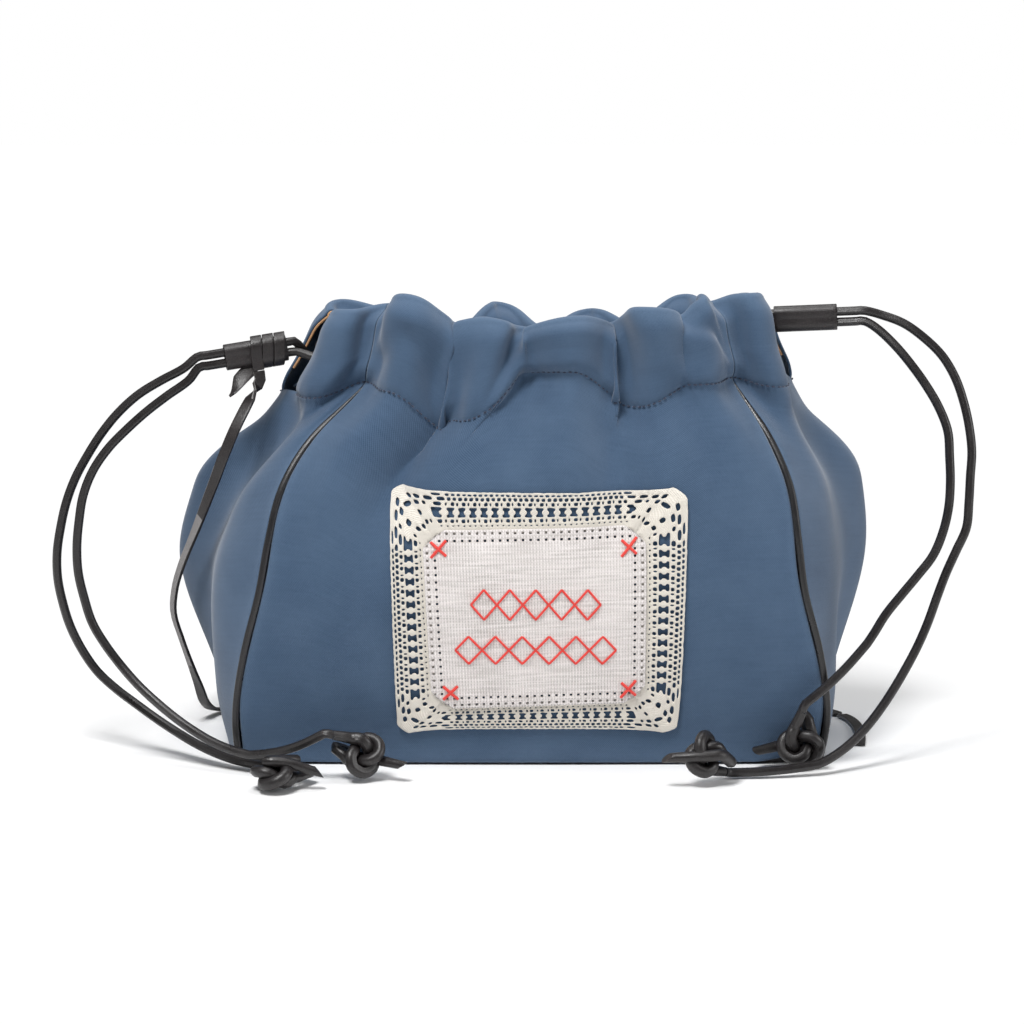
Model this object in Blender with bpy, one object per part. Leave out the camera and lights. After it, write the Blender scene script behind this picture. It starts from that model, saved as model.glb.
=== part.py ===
"""Kinchaku drawstring pouch: a gathered twill bag with a casing, two leather drawcords and sliders.

The front faces -Y, +X is to the viewer's right and the base stands on Z = 0.
"""
import math

import bmesh
import bpy
from mathutils import Matrix, Vector

# Lengths are in metres
MM = 0.001
FIT = 0.3 * MM              # gap between two pieces that touch

# Cloth
CLOTH = 1.2 * MM            # thickness of the twill
LINING = 0.8 * MM           # thickness of the lining
LINING_EASE = 3 * MM        # how loosely the lining hangs inside the twill
NECK = 160 * MM             # nominal height of the casing's stitch line
CASING = 40 * MM            # nominal height of the casing above it
GATHER = 15 * MM            # how far a fold of the gathered neck swings in and out
CHANNEL = 4.0 * MM          # from the middle of the cord channel to each layer of cloth
HEM_LAP = 0.9 * MM          # half the distance between the two layers where they are sewn
RIM_BEND = 2.2 * MM         # radius of the fold at the top edge
FADE_FROM = 0.5             # share of the body's height where the folds have died away
SEAM_LAP = 0.75 * MM        # from a plain seam's line to the cloth's edge
SLIT = 22 * MM              # width of the slit in each gusset's casing
CORNER = 12 * MM            # how far the bag's corners are softened at the neck
CORD_SWING = 0.15           # share of a fold's swing that the cords in the channel follow
CHANNEL_FROM = 0.28         # where the cord channel starts, as a share of the casing's height
CHANNEL_TO = 0.8
CHANNEL_MIDDLE = 0.54
BASE = 1.4 * MM             # thickness of the base panel
FOOT = 1.3 * MM             # how high the front's and back's lower edges lie
FOOT_CORNER = 5 * MM        # the same at their corners, where the welt passes

# Leather
PIPING = 3.2 * MM           # diameter of the welt
CORD = 4 * MM               # diameter of a drawcord
PAIR = 4.7 * MM             # from one strand to the other inside a slider
CORD_STACK = 5.8 * MM       # from one cord to the other in the casing
CORD_EVEN = 8 * MM          # how far along the casing a cord evens out its ups and downs
SLIDER_LENGTH = 28 * MM
SLIDER_WALL = 1.1 * MM
SLIDER_EASE = 0.4 * MM      # clearance round the strands inside a slider
SLIDER_LEAD = 3.6 * MM        # how far the strands run straight before a slider
STRAP_WIDTH = 5 * MM
STRAP = 1.4 * MM
KNOT_RING = 6.2 * MM        # radius of the ring that an overhand knot winds round
KNOT_WIND = 2.5 * MM        # radius of the winding round it
TAIL = 8 * MM

# Label
LABEL_TOP = 126 * MM
LABEL_FOOT = 14 * MM
LABEL_LEFT = -58 * MM
LABEL_RIGHT = 69 * MM
LABEL_WAIST = 3 * MM        # how much narrower the label is at its foot, on each side
LACE_WIDTH = 15 * MM
LACE = 0.8 * MM
LINEN = 0.7 * MM
LACE_COLUMNS = (20, 18)     # columns of the lace along the foot and up a side

# Half widths and depths of the body at seven heights, all in millimetres
HEIGHTS = (0, 30, 80, 115, 140, 160, 200)
FRONT_LEFT = (-125, -126, -114, -107, -93, -69, -61)
FRONT_RIGHT = (130, 133, 121, 117, 107, 94, 86)
SEAM_DEPTH = (50, 51, 52, 46, 37, 24, 20)
BULGE = (2, 6, 10, 11, 10, 11, 11)
LEFT_FRONT_LOBE = (-131, -137, -136, -123, -105, -91, -75)
LEFT_FOLD = (-130, -135, -141, -128, -110, -106, -86)
LEFT_BACK_LOBE = (-132, -143, -158, -150, -137, -109, -85)
RIGHT_FRONT_LOBE = (135, 139, 137, 132, 121, 107, 94)
RIGHT_FOLD = (133, 137, 145, 136, 117, 112, 98)
RIGHT_BACK_LOBE = (136, 145, 157, 154, 144, 122, 100)
LOBE_DEPTH = 0.55           # where a gusset's lobes sit, as a share of the seam's depth

# Folds of the gathered neck: place along the panel, then 0 for a valley up to 1 for a crest
FRONT_FOLDS = ((0, 0.2), (0.1, 1), (0.2, 0), (0.3, 0.8), (0.42, 0.3), (0.54, 1), (0.67, 0),
               (0.78, 1), (0.85, 0.7), (0.9, 0.8), (1, 0.2))
RIGHT_FOLDS = ((0, 0.2), (0.25, 0.85), (0.44, 0.5), (0.56, 0.5), (0.75, 0.85), (1, 0.2))
BACK_FOLDS = ((0, 0.2), (0.12, 1), (0.24, 0.1), (0.38, 0.9), (0.52, 0), (0.65, 1), (0.78, 0.1),
              (0.9, 0.9), (1, 0.2))
LEFT_FOLDS = ((0, 0.2), (0.25, 0.85), (0.44, 0.5), (0.56, 0.5), (0.75, 0.85), (1, 0.2))

# Height of the stitch line and of the top edge along each panel, in millimetres
FRONT_SEWN = ((0, 166), (0.08, 164), (0.18, 146), (0.27, 151), (0.42, 172), (0.55, 173),
              (0.66, 159), (0.73, 157), (0.86, 167), (1, 168))
RIGHT_SEWN = ((0, 168), (0.25, 164), (0.5, 169), (0.75, 163), (1, 164))
BACK_SEWN = ((0, 164), (0.12, 168), (0.24, 157), (0.38, 170), (0.52, 156), (0.65, 169),
             (0.78, 155), (0.9, 165), (1, 160))
LEFT_SEWN = ((0, 160), (0.25, 158), (0.5, 160), (0.75, 159), (1, 166))
FRONT_TOP = ((0, 200), (0.09, 206), (0.2, 190), (0.3, 196), (0.42, 191), (0.56, 197),
             (0.67, 192), (0.77, 201), (0.87, 196), (0.94, 205), (1, 201))
RIGHT_TOP = ((0, 201), (0.22, 205), (0.5, 199), (0.78, 202), (1, 197))
BACK_TOP = ((0, 197), (0.12, 203), (0.24, 193), (0.38, 202), (0.52, 191), (0.65, 203),
            (0.78, 190), (0.9, 199), (1, 196))
LEFT_TOP = ((0, 196), (0.22, 199), (0.5, 192), (0.78, 198), (1, 200))

# Free ends of the cords: points that each strand passes after its slider, in millimetres
LEFT_UPPER = ((-153, -15, 170), (-167, -17, 163), (-181, -20, 151), (-192, -22, 136),
              (-201, -24, 119), (-206, -25, 101), (-208, -25, 86), (-207, -24, 72), (-202, -22, 53),
              (-191, -23, 35), (-174, -28, 22), (-158, -36, 13), (-144, -46, 7.5),
              (-130, -56, 4.2), (-116, -63, 2.6), (-105, -69, 2.4), (-100, -77, 3))
LEFT_LOWER = ((-149, -16, 166), (-162, -21, 157), (-175, -25, 146), (-187, -28, 133),
              (-194, -30, 119), (-197, -31, 103), (-198, -31, 87), (-196, -31, 74),
              (-191, -32, 58), (-178, -36, 40), (-166, -42, 29), (-149, -52, 18),
              (-132, -62, 11), (-115, -70, 8.4), (-99, -75, 9.4), (-89, -77, 12))
RIGHT_UPPER = ((155, -6, 195.5), (165, -8, 193), (175, -11, 187), (185, -14, 178), (192, -18, 166),
               (196, -22, 152), (198, -26, 138), (197, -30, 123), (195, -34, 101), (189, -37, 90),
               (183, -41, 76), (176, -45, 58), (168, -49, 43), (158, -54, 28), (148, -60, 17),
               (137, -66, 9), (124, -72, 4), (108, -76, 2.4), (96, -79, 2.6))
RIGHT_LOWER = ((160, -10, 186.5), (168, -14.5, 178), (175, -18, 169),
               (182, -22, 158), (187, -26, 146), (188, -29, 132), (188, -32, 117),
               (186, -34, 105), (181, -37, 92), (168, -43, 77), (158, -46, 65), (150, -50, 53),
               (141, -54, 43), (134, -57, 34), (127, -58, 27))
STRAP_ROUTE = ((-129, -24, 143), (-138, -19, 121), (-148, -8, 97), (-157, 4, 76),
               (-161, 10, 58), (-157, 14, 40), (-152, 20, 22), (-149, 30, 8),
               (-144, 44, 1.8), (-131, 58, 1.2), (-110, 65, 1.2), (-70, 68, 1.2), (-20, 69, 1.2),
               (40, 69, 1.2), (100, 66, 1.2), (134, 54, 1.2), (152, 32, 1.2), (155, 5, 1.2),
               (152, -20, 1.2))

# Colours
TWILL = (0.066, 0.137, 0.27)
BLACK_LEATHER = (0.024, 0.021, 0.02)
BROWN_LEATHER = (0.03, 0.024, 0.021)
TAN = (0.5, 0.28, 0.14)
COTTON = (0.78, 0.72, 0.66)
FLAX = (0.72, 0.68, 0.62)
LINING_CLOTH = (0.35, 0.33, 0.3)


for old in list(bpy.data.objects):
    bpy.data.objects.remove(old, do_unlink=True)


def material(name, colour, roughness):
    """A material with a Principled shader."""
    made = bpy.data.materials.new(name)
    made.use_nodes = True
    shader = made.node_tree.nodes["Principled BSDF"]
    shader.inputs["Base Color"].default_value = (*colour, 1)
    shader.inputs["Roughness"].default_value = roughness
    shader.inputs["Metallic"].default_value = 0
    return made


def add(name, data, look):
    """Put a mesh or a curve into the scene under its own name."""
    made = bpy.data.objects.new(name, data)
    bpy.context.collection.objects.link(made)
    data.materials.append(look)
    return made


def ease(knots, place):
    """Read a value between hand-set knots, with a level stop at each knot."""
    for (start, low), (end, high) in zip(knots, knots[1:]):
        if place <= end:
            share = (max(place, start) - start) / (end - start)
            return low + (high - low) * (1 - math.cos(math.pi * share)) / 2
    return knots[-1][1]


def spline(values, places, place):
    """Read a smooth curve through values set at rising places."""
    last = len(places) - 2
    i = max(0, min(last, sum(place >= p for p in places) - 1))
    span = places[i + 1] - places[i]
    t = (place - places[i]) / span

    def slope(k):
        low, high = max(k - 1, 0), min(k + 1, len(places) - 1)
        return (values[high] - values[low]) / (places[high] - places[low])

    a, b = values[i], values[i + 1]
    da, db = slope(i) * span, slope(i + 1) * span
    return (a + da * t + (3 * (b - a) - 2 * da - db) * t * t
            + (2 * (a - b) + da + db) * t ** 3)


def section(values, height):
    """A body dimension at a height, both in metres."""
    return spline(values, HEIGHTS, height / MM) * MM


PANELS = {
    "front": (FRONT_FOLDS, FRONT_SEWN, FRONT_TOP),
    "right": (RIGHT_FOLDS, RIGHT_SEWN, RIGHT_TOP),
    "back": (BACK_FOLDS, BACK_SEWN, BACK_TOP),
    "left": (LEFT_FOLDS, LEFT_SEWN, LEFT_TOP),
}
ORDER = ("front", "right", "back", "left")
SHARE_OF_WIDTH = {"front": 160 * MM, "back": 160 * MM, "left": 56 * MM, "right": 56 * MM}


def plain(panel, s, height):
    """Ground plan of a panel before its corners are softened, s from 0 to 1, counterclockwise."""
    left, right = section(FRONT_LEFT, height), section(FRONT_RIGHT, height)
    depth = section(SEAM_DEPTH, height)
    if panel in ("front", "back"):
        swell = depth + section(BULGE, height) * math.sin(math.pi * s) ** 0.8
        if panel == "front":
            return Vector((left + (right - left) * s, -swell))
        return Vector((right + (left - right) * s, swell))
    stops = (0, 0.24, 0.5, 0.76, 1)
    across = (-depth, -LOBE_DEPTH * depth, 0, LOBE_DEPTH * depth, depth)
    if panel == "right":
        out = (right, section(RIGHT_FRONT_LOBE, height), section(RIGHT_FOLD, height),
               section(RIGHT_BACK_LOBE, height), right)
        return Vector((spline(out, stops, s), spline(across, stops, s)))
    out = (left, section(LEFT_BACK_LOBE, height), section(LEFT_FOLD, height),
           section(LEFT_FRONT_LOBE, height), left)
    return Vector((spline(out, stops, s), -spline(across, stops, s)))


def beside(panel, s):
    """Carry a place past a panel's end into the next panel."""
    if 0 <= s <= 1:
        return panel, s
    here = ORDER.index(panel)
    other = ORDER[(here + (1 if s > 1 else -1)) % 4]
    past = (s - 1 if s > 1 else -s) * SHARE_OF_WIDTH[panel] / SHARE_OF_WIDTH[other]
    return other, (past if s > 1 else 1 - past)


def outline(panel, s, height):
    """Ground plan of a panel without its folds; its corners soften towards the neck."""
    soft = min(1.0, max(0.0, (height / NECK - 0.72) / 0.2))
    if not soft:
        return plain(panel, s, height)
    reach = CORNER * soft / SHARE_OF_WIDTH[panel]
    total = Vector((0, 0))
    for k in (-2, -1, 0, 1, 2):
        total += plain(*beside(panel, s + reach * k / 2), height)
    return total / 5


def outward(path, panel, s):
    """The outward direction of a ground plan at s, shared by two panels where they meet."""
    step = 1.5 * MM / SHARE_OF_WIDTH[panel]
    along = path(*beside(panel, s + step)) - path(*beside(panel, s - step))
    return Vector((along.y, -along.x)).normalized()


def fold(panel, s):
    """How far the gathered neck swings out of its mean line at s."""
    return GATHER * (ease(PANELS[panel][0], s) - 0.5)


def sewn(panel, s):
    """Height of the stitch line."""
    return ease(PANELS[panel][1], s) * MM


def top(panel, s):
    """Height of the top edge."""
    return ease(PANELS[panel][2], s) * MM


def mean(panel, s, height, swing):
    """Ground plan of a panel with its folds."""
    out = outward(lambda p, t: outline(p, t, height), panel, s)
    return outline(panel, s, height) + out * fold(panel, s) * swing


def off_mean(panel, s, height, swing, off):
    """A point set off from the folded ground plan along its own outward direction."""
    plan = mean(panel, s, height, swing)
    if off:
        plan += outward(lambda p, t: mean(p, t, height, swing), panel, s) * off
    return plan


def body(panel, s, v, off=0.0):
    """A point of the cloth below the stitch line, v from 0 at the base to 1 at the stitches."""
    swing = max(0.0, (v - FADE_FROM) / (1 - FADE_FROM)) ** 2
    plan = off_mean(panel, s, v * NECK, swing, off)
    return Vector((plan.x, plan.y, v * sewn(panel, s)))


def level(panel, s, share):
    """Height in the casing, share 0 at the stitches and 1 where the rim starts to bend."""
    return sewn(panel, s) + (top(panel, s) - RIM_BEND - sewn(panel, s)) * share


def casing(panel, s, share, side):
    """A point of the casing's outer layer (side 1) or inner layer (side -1)."""
    height = NECK + share * CASING
    room = max(0.0, side * fold(panel, s) * (CORD_SWING - 1)) + CHANNEL - HEM_LAP
    spread = min(1.0, share / CHANNEL_FROM, (1 - share) / (1 - CHANNEL_TO))
    lap = HEM_LAP + (RIM_BEND - HEM_LAP) * max(0.0, (share - 0.5) / 0.5)
    plan = off_mean(panel, s, height, 1, side * lap)
    plan += outward(lambda p, t: outline(p, t, height), panel, s) * side * room * spread
    return Vector((plan.x, plan.y, level(panel, s, share)))


def rim(panel, s, turn):
    """A point of the fold at the top edge; turn runs from 0 outside to pi inside."""
    plan = off_mean(panel, s, NECK + CASING, 1, RIM_BEND * math.cos(turn))
    return Vector((plan.x, plan.y, top(panel, s) - RIM_BEND * (1 - math.sin(turn))))


def channel(panel, s, rise):
    """A point of a cord in the casing, rise above or below the channel's middle."""
    reach = CORD_EVEN / SHARE_OF_WIDTH[panel]
    near = [beside(panel, s + reach * k / 2) for k in (-2, -1, 0, 1, 2)]
    z = sum(level(p, t, CHANNEL_MIDDLE) for p, t in near) / 5 + rise
    low = sewn(panel, s)
    share = (z - low) / (top(panel, s) - RIM_BEND - low)
    height = NECK + share * CASING
    out = outward(lambda p, t: outline(p, t, height), panel, s)
    plan = outline(panel, s, height) + out * fold(panel, s) * CORD_SWING
    return Vector((plan.x, plan.y, z))


def span(panel, v):
    """Width of a panel along its ground plan at a height share."""
    points = [outline(panel, k / 12, v * NECK) for k in range(13)]
    return sum((b - a).length for a, b in zip(points, points[1:]))


def sheet(name, rows, thickness, look, ring=False, skip=()):
    """Cloth of even thickness through rows of points; skip holds (row, column) of open cells."""
    mesh = bpy.data.meshes.new(name)
    count = len(rows[0])
    points = [point for row in rows for point in row]
    faces = []
    for r in range(len(rows) - 1):
        for c in range(count if ring else count - 1):
            if (r, c) in skip:
                continue
            d = (c + 1) % count
            faces.append((r * count + c, r * count + d, (r + 1) * count + d, (r + 1) * count + c))
    mesh.from_pydata(points, [], faces)
    shell = bmesh.new()
    shell.from_mesh(mesh)
    bmesh.ops.delete(shell, geom=[v for v in shell.verts if not v.link_faces], context="VERTS")
    shell.to_mesh(mesh)
    shell.free()
    mesh.shade_smooth()
    made = add(name, mesh, look)
    thick = made.modifiers.new("Thickness", "SOLIDIFY")
    thick.thickness = thickness
    thick.offset = 0
    return made


def tube(name, points, diameter, look, sides=2, cyclic=False):
    """A round tube with closed ends through a list of points."""
    curve = bpy.data.curves.new(name, "CURVE")
    curve.dimensions = "3D"
    curve.bevel_depth = diameter / 2
    curve.bevel_resolution = sides
    curve.use_fill_caps = True
    line = curve.splines.new("POLY")
    line.points.add(len(points) - 1)
    for spot, point in zip(line.points, points):
        spot.co = (*point, 1)
    line.use_cyclic_u = cyclic
    return add(name, curve, look)


def smooth_route(stops, step):
    """Evenly spaced points of a smooth curve through the route's own points."""
    places = [0.0]
    for a, b in zip(stops, stops[1:]):
        places.append(places[-1] + (b - a).length)
    fine = [Vector(spline([p[k] for p in stops], places, places[-1] * i / 600) for k in range(3))
            for i in range(601)]
    run = [0.0]
    for a, b in zip(fine, fine[1:]):
        run.append(run[-1] + (b - a).length)
    count = max(2, round(run[-1] / step))
    out, at = [], 0
    for k in range(count + 1):
        while at < 600 and run[at] < run[-1] * k / count:
            at += 1
        out.append(fine[at])
    return out


def led_route(lead, stops, step):
    """Straight leads as they are, and between or after them a smooth curve through the stops."""
    start = lead[0]
    end = lead[1] if len(lead) > 1 else []
    fine = smooth_route(start[-2:] + stops + end[:2], step)
    for straight in (start[-2:], end[1::-1]):
        if straight:
            reach = (straight[1] - straight[0]).length + step / 3
            fine = [p for p in fine if (p - straight[0]).length > reach]
    return start + fine + end


twill = material("Indigo twill", TWILL, 0.85)
black_leather = material("Black leather", BLACK_LEATHER, 0.45)
brown_leather = material("Dark brown leather", BROWN_LEATHER, 0.5)
tan = material("Tan binding", TAN, 0.6)
cotton = material("Cotton lace", COTTON, 0.9)
flax = material("Linen", FLAX, 0.9)
lining_cloth = material("Lining cloth", LINING_CLOTH, 0.9)

# The four panels, each with its casing turned over at the top
WELT_ROOM = PIPING / 2 + 1.6 * FIT
BODY_SHARES = (0, 0.14, 0.3, 0.46, 0.6, 0.73, 0.84, 0.935, 1)
BODY_ROWS = len(BODY_SHARES) - 1
OUTER_SHARES = (CHANNEL_FROM, 0.54, CHANNEL_TO)
INNER_SHARES = (CHANNEL_TO, CHANNEL_FROM, 0.05)
RIM_TURNS = (0.0, 0.33, 0.67, 1.0)
COLUMNS = {"front": 32, "back": 24, "left": 12, "right": 12}


def edge_place(path, room, end):
    """The place on a row of cloth that lies at a distance from its seam; end is 0 or 1."""
    seam = path(end)
    inward = 1 - 2 * end
    s = 0.02
    for _ in range(6):
        s *= room / (path(end + inward * s) - seam).length
    return end + inward * s


def places(panel, v, room, path):
    """Places of a panel's columns; a gusset's two middle cells are as wide as its slit."""
    count = COLUMNS[panel]
    low, high = edge_place(path, room, 0), edge_place(path, room, 1)
    if panel in ("front", "back"):
        return [low + (high - low) * c / count for c in range(count + 1)]
    half = SLIT / 2 / span(panel, v)
    side = count // 2 - 1
    first = [low + (0.5 - half - low) * c / side for c in range(side + 1)]
    last = [0.5 + half + (high - 0.5 - half) * c / side for c in range(side + 1)]
    return first + [0.5] + last


def outer_paths(panel):
    """The rows of a casing up its outer layer and over the rim."""
    paths = [lambda s, share=share: casing(panel, s, share, 1) for share in OUTER_SHARES]
    paths += [lambda s, turn=turn: rim(panel, s, turn * math.pi) for turn in RIM_TURNS]
    return paths


def casing_paths(panel):
    """The rows of a casing: up its outer layer, over the rim and down its inner layer."""
    paths = outer_paths(panel)
    paths += [lambda s, share=share: casing(panel, s, share, -1) for share in INNER_SHARES]
    return paths


def panel_rows(panel):
    """Rows of points of one panel from its foot to the inner end of its casing."""
    made = []
    for r, v in enumerate(BODY_SHARES):
        row = []
        for s in places(panel, v, WELT_ROOM if v < 1 else SEAM_LAP, lambda t: body(panel, t, v)):
            point = body(panel, s, v)
            if r == 0:
                lap = min(1.0, max(0.0, 14 * (min(s, 1 - s) - 0.03)))
                point.z = FOOT + (FOOT_CORNER - FOOT) * (1 - lap)
                if panel in ("left", "right"):
                    point.z = CLOTH / 2 + FIT
            row.append(point)
        made.append(row)
    for path in casing_paths(panel):
        made.append([path(s) for s in places(panel, 1, SEAM_LAP, path)])
    return made


def slit_cells(panel, rows):
    """Cells of a gusset's casing that the slit leaves open."""
    middle = COLUMNS[panel] // 2
    if panel in ("front", "back"):
        return ()
    return {(r, c) for r in range(BODY_ROWS, rows) for c in (middle - 1, middle)}


for panel, name in zip(ORDER, ("front_panel", "right_gusset", "back_panel", "left_gusset")):
    rows = panel_rows(panel)
    sheet(name, rows, CLOTH, twill, skip=slit_cells(panel, len(rows) - 1))

# Base and lining
WELT_IN = CLOTH / 2 + FIT + PIPING / 2      # from the cloth's middle to the welt's middle under it


def round_points(counts, v, inset, ends):
    """Points round the bag at a height share, set in from the cloth by each panel's own inset."""
    made = []
    for panel in ORDER:
        for c in range(counts[panel]):
            s = ends + (1 - 2 * ends) * c / (counts[panel] - 1)
            plan = off_mean(panel, s, v * NECK, 0, -inset[panel])
            made.append(Vector((plan.x, plan.y, v * sewn(panel, s))))
    return made


across_gusset = CLOTH / 2 + FIT
across_front = WELT_IN + PIPING / 2 + FIT
base_inset = {"front": across_front, "back": across_front, "left": across_gusset,
              "right": across_gusset}
ring = round_points({"front": 8, "back": 8, "left": 5, "right": 5}, 0, base_inset, 0.09)
shell = bmesh.new()
floor_face = shell.faces.new([shell.verts.new((p.x, p.y, 0)) for p in ring])
raised = bmesh.ops.extrude_face_region(shell, geom=[floor_face])
lift = [item for item in raised["geom"] if isinstance(item, bmesh.types.BMVert)]
bmesh.ops.translate(shell, verts=lift, vec=(0, 0, BASE))
bmesh.ops.recalc_face_normals(shell, faces=shell.faces)
base_mesh = bpy.data.meshes.new("base_panel")
shell.to_mesh(base_mesh)
shell.free()
add("base_panel", base_mesh, twill)

LINING_GAP = CLOTH / 2 + LINING / 2 + LINING_EASE
GUSSET_SLACK = 2 * MM       # the lining bridges the fold in each gusset
LINING_SHARES = (0.06, 0.3, 0.6, 0.84, 0.935)
lining_counts = {"front": 7, "back": 7, "left": 6, "right": 6}
lining_rows = []
low = BASE + FIT + LINING / 2
for v in (0.0,) + LINING_SHARES:
    swing = max(0.0, (v - FADE_FROM) / (1 - FADE_FROM)) ** 2 * GATHER / 2
    gap = LINING_GAP + swing + (WELT_IN + PIPING / 2 if v == 0 else 0)
    insets = {"front": gap, "back": gap, "left": gap + GUSSET_SLACK, "right": gap + GUSSET_SLACK}
    points = round_points(lining_counts, v, insets, 0.07)
    lining_rows.append([Vector((p.x, p.y, max(low, p.z))) for p in points])
lining = sheet("lining", lining_rows, LINING, lining_cloth, ring=True)
shell = bmesh.new()
shell.from_mesh(lining.data)
shell.faces.new([v for v in shell.verts if v.co.z < low + FIT / 2])
bmesh.ops.recalc_face_normals(shell, faces=shell.faces)
shell.to_mesh(lining.data)
shell.free()

# Leather piping, from one side seam down, along the foot and up the other side
WELT_PROUD = 0.5 * MM
WELT_SHARES = tuple(reversed(BODY_SHARES[1:-1])) + (0.025,)
WELT_FOOT = PIPING / 2 + FIT / 2


def welt(panel, name):
    """The welt in the seam round the front or the back panel."""
    def under(s):
        point = body(panel, s, 0, -WELT_IN)
        return Vector((point.x, point.y, WELT_FOOT))

    def corner(end):
        point = body(panel, end, 0, WELT_PROUD)
        point = point.lerp(under(abs(end - 0.03)), 0.3)
        return Vector((point.x, point.y, WELT_FOOT))

    stops = [body(panel, 0, v, WELT_PROUD) for v in WELT_SHARES] + [corner(0)]
    stops += [under(0.03 + 0.94 * k / 12) for k in range(13)]
    stops += [corner(1)] + [body(panel, 1, v, WELT_PROUD) for v in reversed(WELT_SHARES)]
    return tube(name, stops, PIPING, black_leather, sides=1)


welt("front", "front_piping")
welt("back", "back_piping")

# Tan bindings on the edges of the slits
BINDING = 1 * MM
for panel, ends in (("left", ("back", "front")), ("right", ("front", "back"))):
    for side, end in zip((-1, 1), ends):
        edge = 0.5 + side * SLIT / 2 / span(panel, 1)
        line = []
        for path in outer_paths(panel):
            cloth_edge = path(edge)
            way = (path(edge - side * 0.01) - cloth_edge).normalized()
            line.append(cloth_edge + way * (2 * FIT + BINDING / 2))
        tube(f"{panel}_binding_{end}", line, BINDING, tan, sides=0)


# Sliders and the strands that run through them
def slider_frame(inner, outer):
    """A slider's middle, its outward direction and the direction from strand to strand."""
    inner, outer = Vector(inner) * MM, Vector(outer) * MM
    along = (outer - inner).normalized()
    up = (Vector((0, 0, 1)) - along * along.z).normalized()
    return (inner + outer) / 2, along, up


SLIDERS = {
    "left": slider_frame((-104, -4, 180), (-135, -11, 175.5)),
    "right": slider_frame((112, -1, 192), (140, -5, 193.5)),
}


def stadium(share, radius):
    """A point and the outward direction of the oval round two strands, share from 0 to 1."""
    straight, turn = PAIR, math.pi * radius
    at = share * 2 * (straight + turn)
    if at < straight / 2:
        return Vector((radius, at)), Vector((1, 0))
    if at < straight / 2 + turn:
        angle = (at - straight / 2) / radius
        way = Vector((math.cos(angle), math.sin(angle)))
        return way * radius + Vector((0, straight / 2)), way
    if at < 1.5 * straight + turn:
        return Vector((-radius, straight + turn - at)), Vector((-1, 0))
    if at < 1.5 * straight + 2 * turn:
        angle = math.pi + (at - 1.5 * straight - turn) / radius
        way = Vector((math.cos(angle), math.sin(angle)))
        return way * radius - Vector((0, straight / 2)), way
    return Vector((radius, at - 2 * (straight + turn))), Vector((1, 0))


SLIDER_SIDES = 18
SLIDER_RADIUS = CORD / 2 + SLIDER_EASE + SLIDER_WALL / 2
for side, (middle, along, up) in SLIDERS.items():
    across = up.cross(along)
    frame = Matrix((across, up, along)).transposed().to_4x4()
    rows = []
    for step in (-0.5, 0, 0.5):
        ring = [stadium(c / SLIDER_SIDES, SLIDER_RADIUS)[0] for c in range(SLIDER_SIDES)]
        rows.append([Vector((p.x, p.y, step * SLIDER_LENGTH)) for p in ring])
    made = sheet(f"{side}_slider", rows, SLIDER_WALL, brown_leather, ring=True)
    made.matrix_world = Matrix.Translation(middle) @ frame

# Cords: each runs round the whole casing and comes out twice at its own slit
EXIT_AT = 0.12              # where a cord leaves the channel, from the slit's middle


def run_places(own):
    """Panels and places that a cord passes in its channel, from one side of its slit to the other."""
    start = ORDER.index(own)
    steps = [(own, 0.5 + EXIT_AT + 0.11 * k) for k in range(4)]
    for turn in (1, 2, 3):
        panel = ORDER[(start + turn) % 4]
        count = 20 if panel in ("front", "back") else 9
        steps += [(panel, (k + 0.5) / count) for k in range(count)]
    steps += [(own, 0.5 - EXIT_AT - 0.11 * k) for k in (3, 2, 1, 0)]
    return steps


def held_run(own, rise, first):
    """A cord's run from inside its slider, round the casing and back; first is its first strand."""
    middle, along, up = SLIDERS[own]
    lead = [middle - along * d for d in (0, SLIDER_LENGTH / 2, SLIDER_LENGTH / 2 + SLIDER_LEAD)]
    out, back = [p + up * first for p in lead], [p - up * first for p in reversed(lead)]
    stops = [channel(panel, s, rise) for panel, s in run_places(own)]
    return led_route((out, back), stops, 8.5 * MM)


for side, rise in (("left", -CORD_STACK / 2), ("right", CORD_STACK / 2)):
    tube(f"{side}_cord_in_casing", held_run(side, rise, -PAIR / 2), CORD, brown_leather, sides=1)


# Overhand knots and the free strands that lead to them
def knot_points():
    """The middle line of an overhand knot: the end from the cord first, the tail last."""
    def wound(turn):
        reach = KNOT_RING + KNOT_WIND * math.cos(3 * turn)
        return Vector((reach * math.cos(2 * turn), reach * math.sin(2 * turn),
                       KNOT_WIND * math.sin(3 * turn)))

    first, last = 0.25, 2 * math.pi - 0.25
    body_points = [wound(first + (last - first) * k / 19) for k in range(20)]
    lead = (body_points[0] - body_points[1]).normalized()
    trail = (body_points[-1] - body_points[-2]).normalized()
    lead.z, trail.z = 0.12, -0.12
    entry = [body_points[0] + lead * d * MM + Vector((0, 0, 0.5 * MM)) for d in (8, 5, 2.5)]
    tail = [body_points[-1] + trail * d * MM - Vector((0, 0, 0.5 * MM)) for d in (2.5, 5)]
    return entry + body_points + tail


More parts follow.
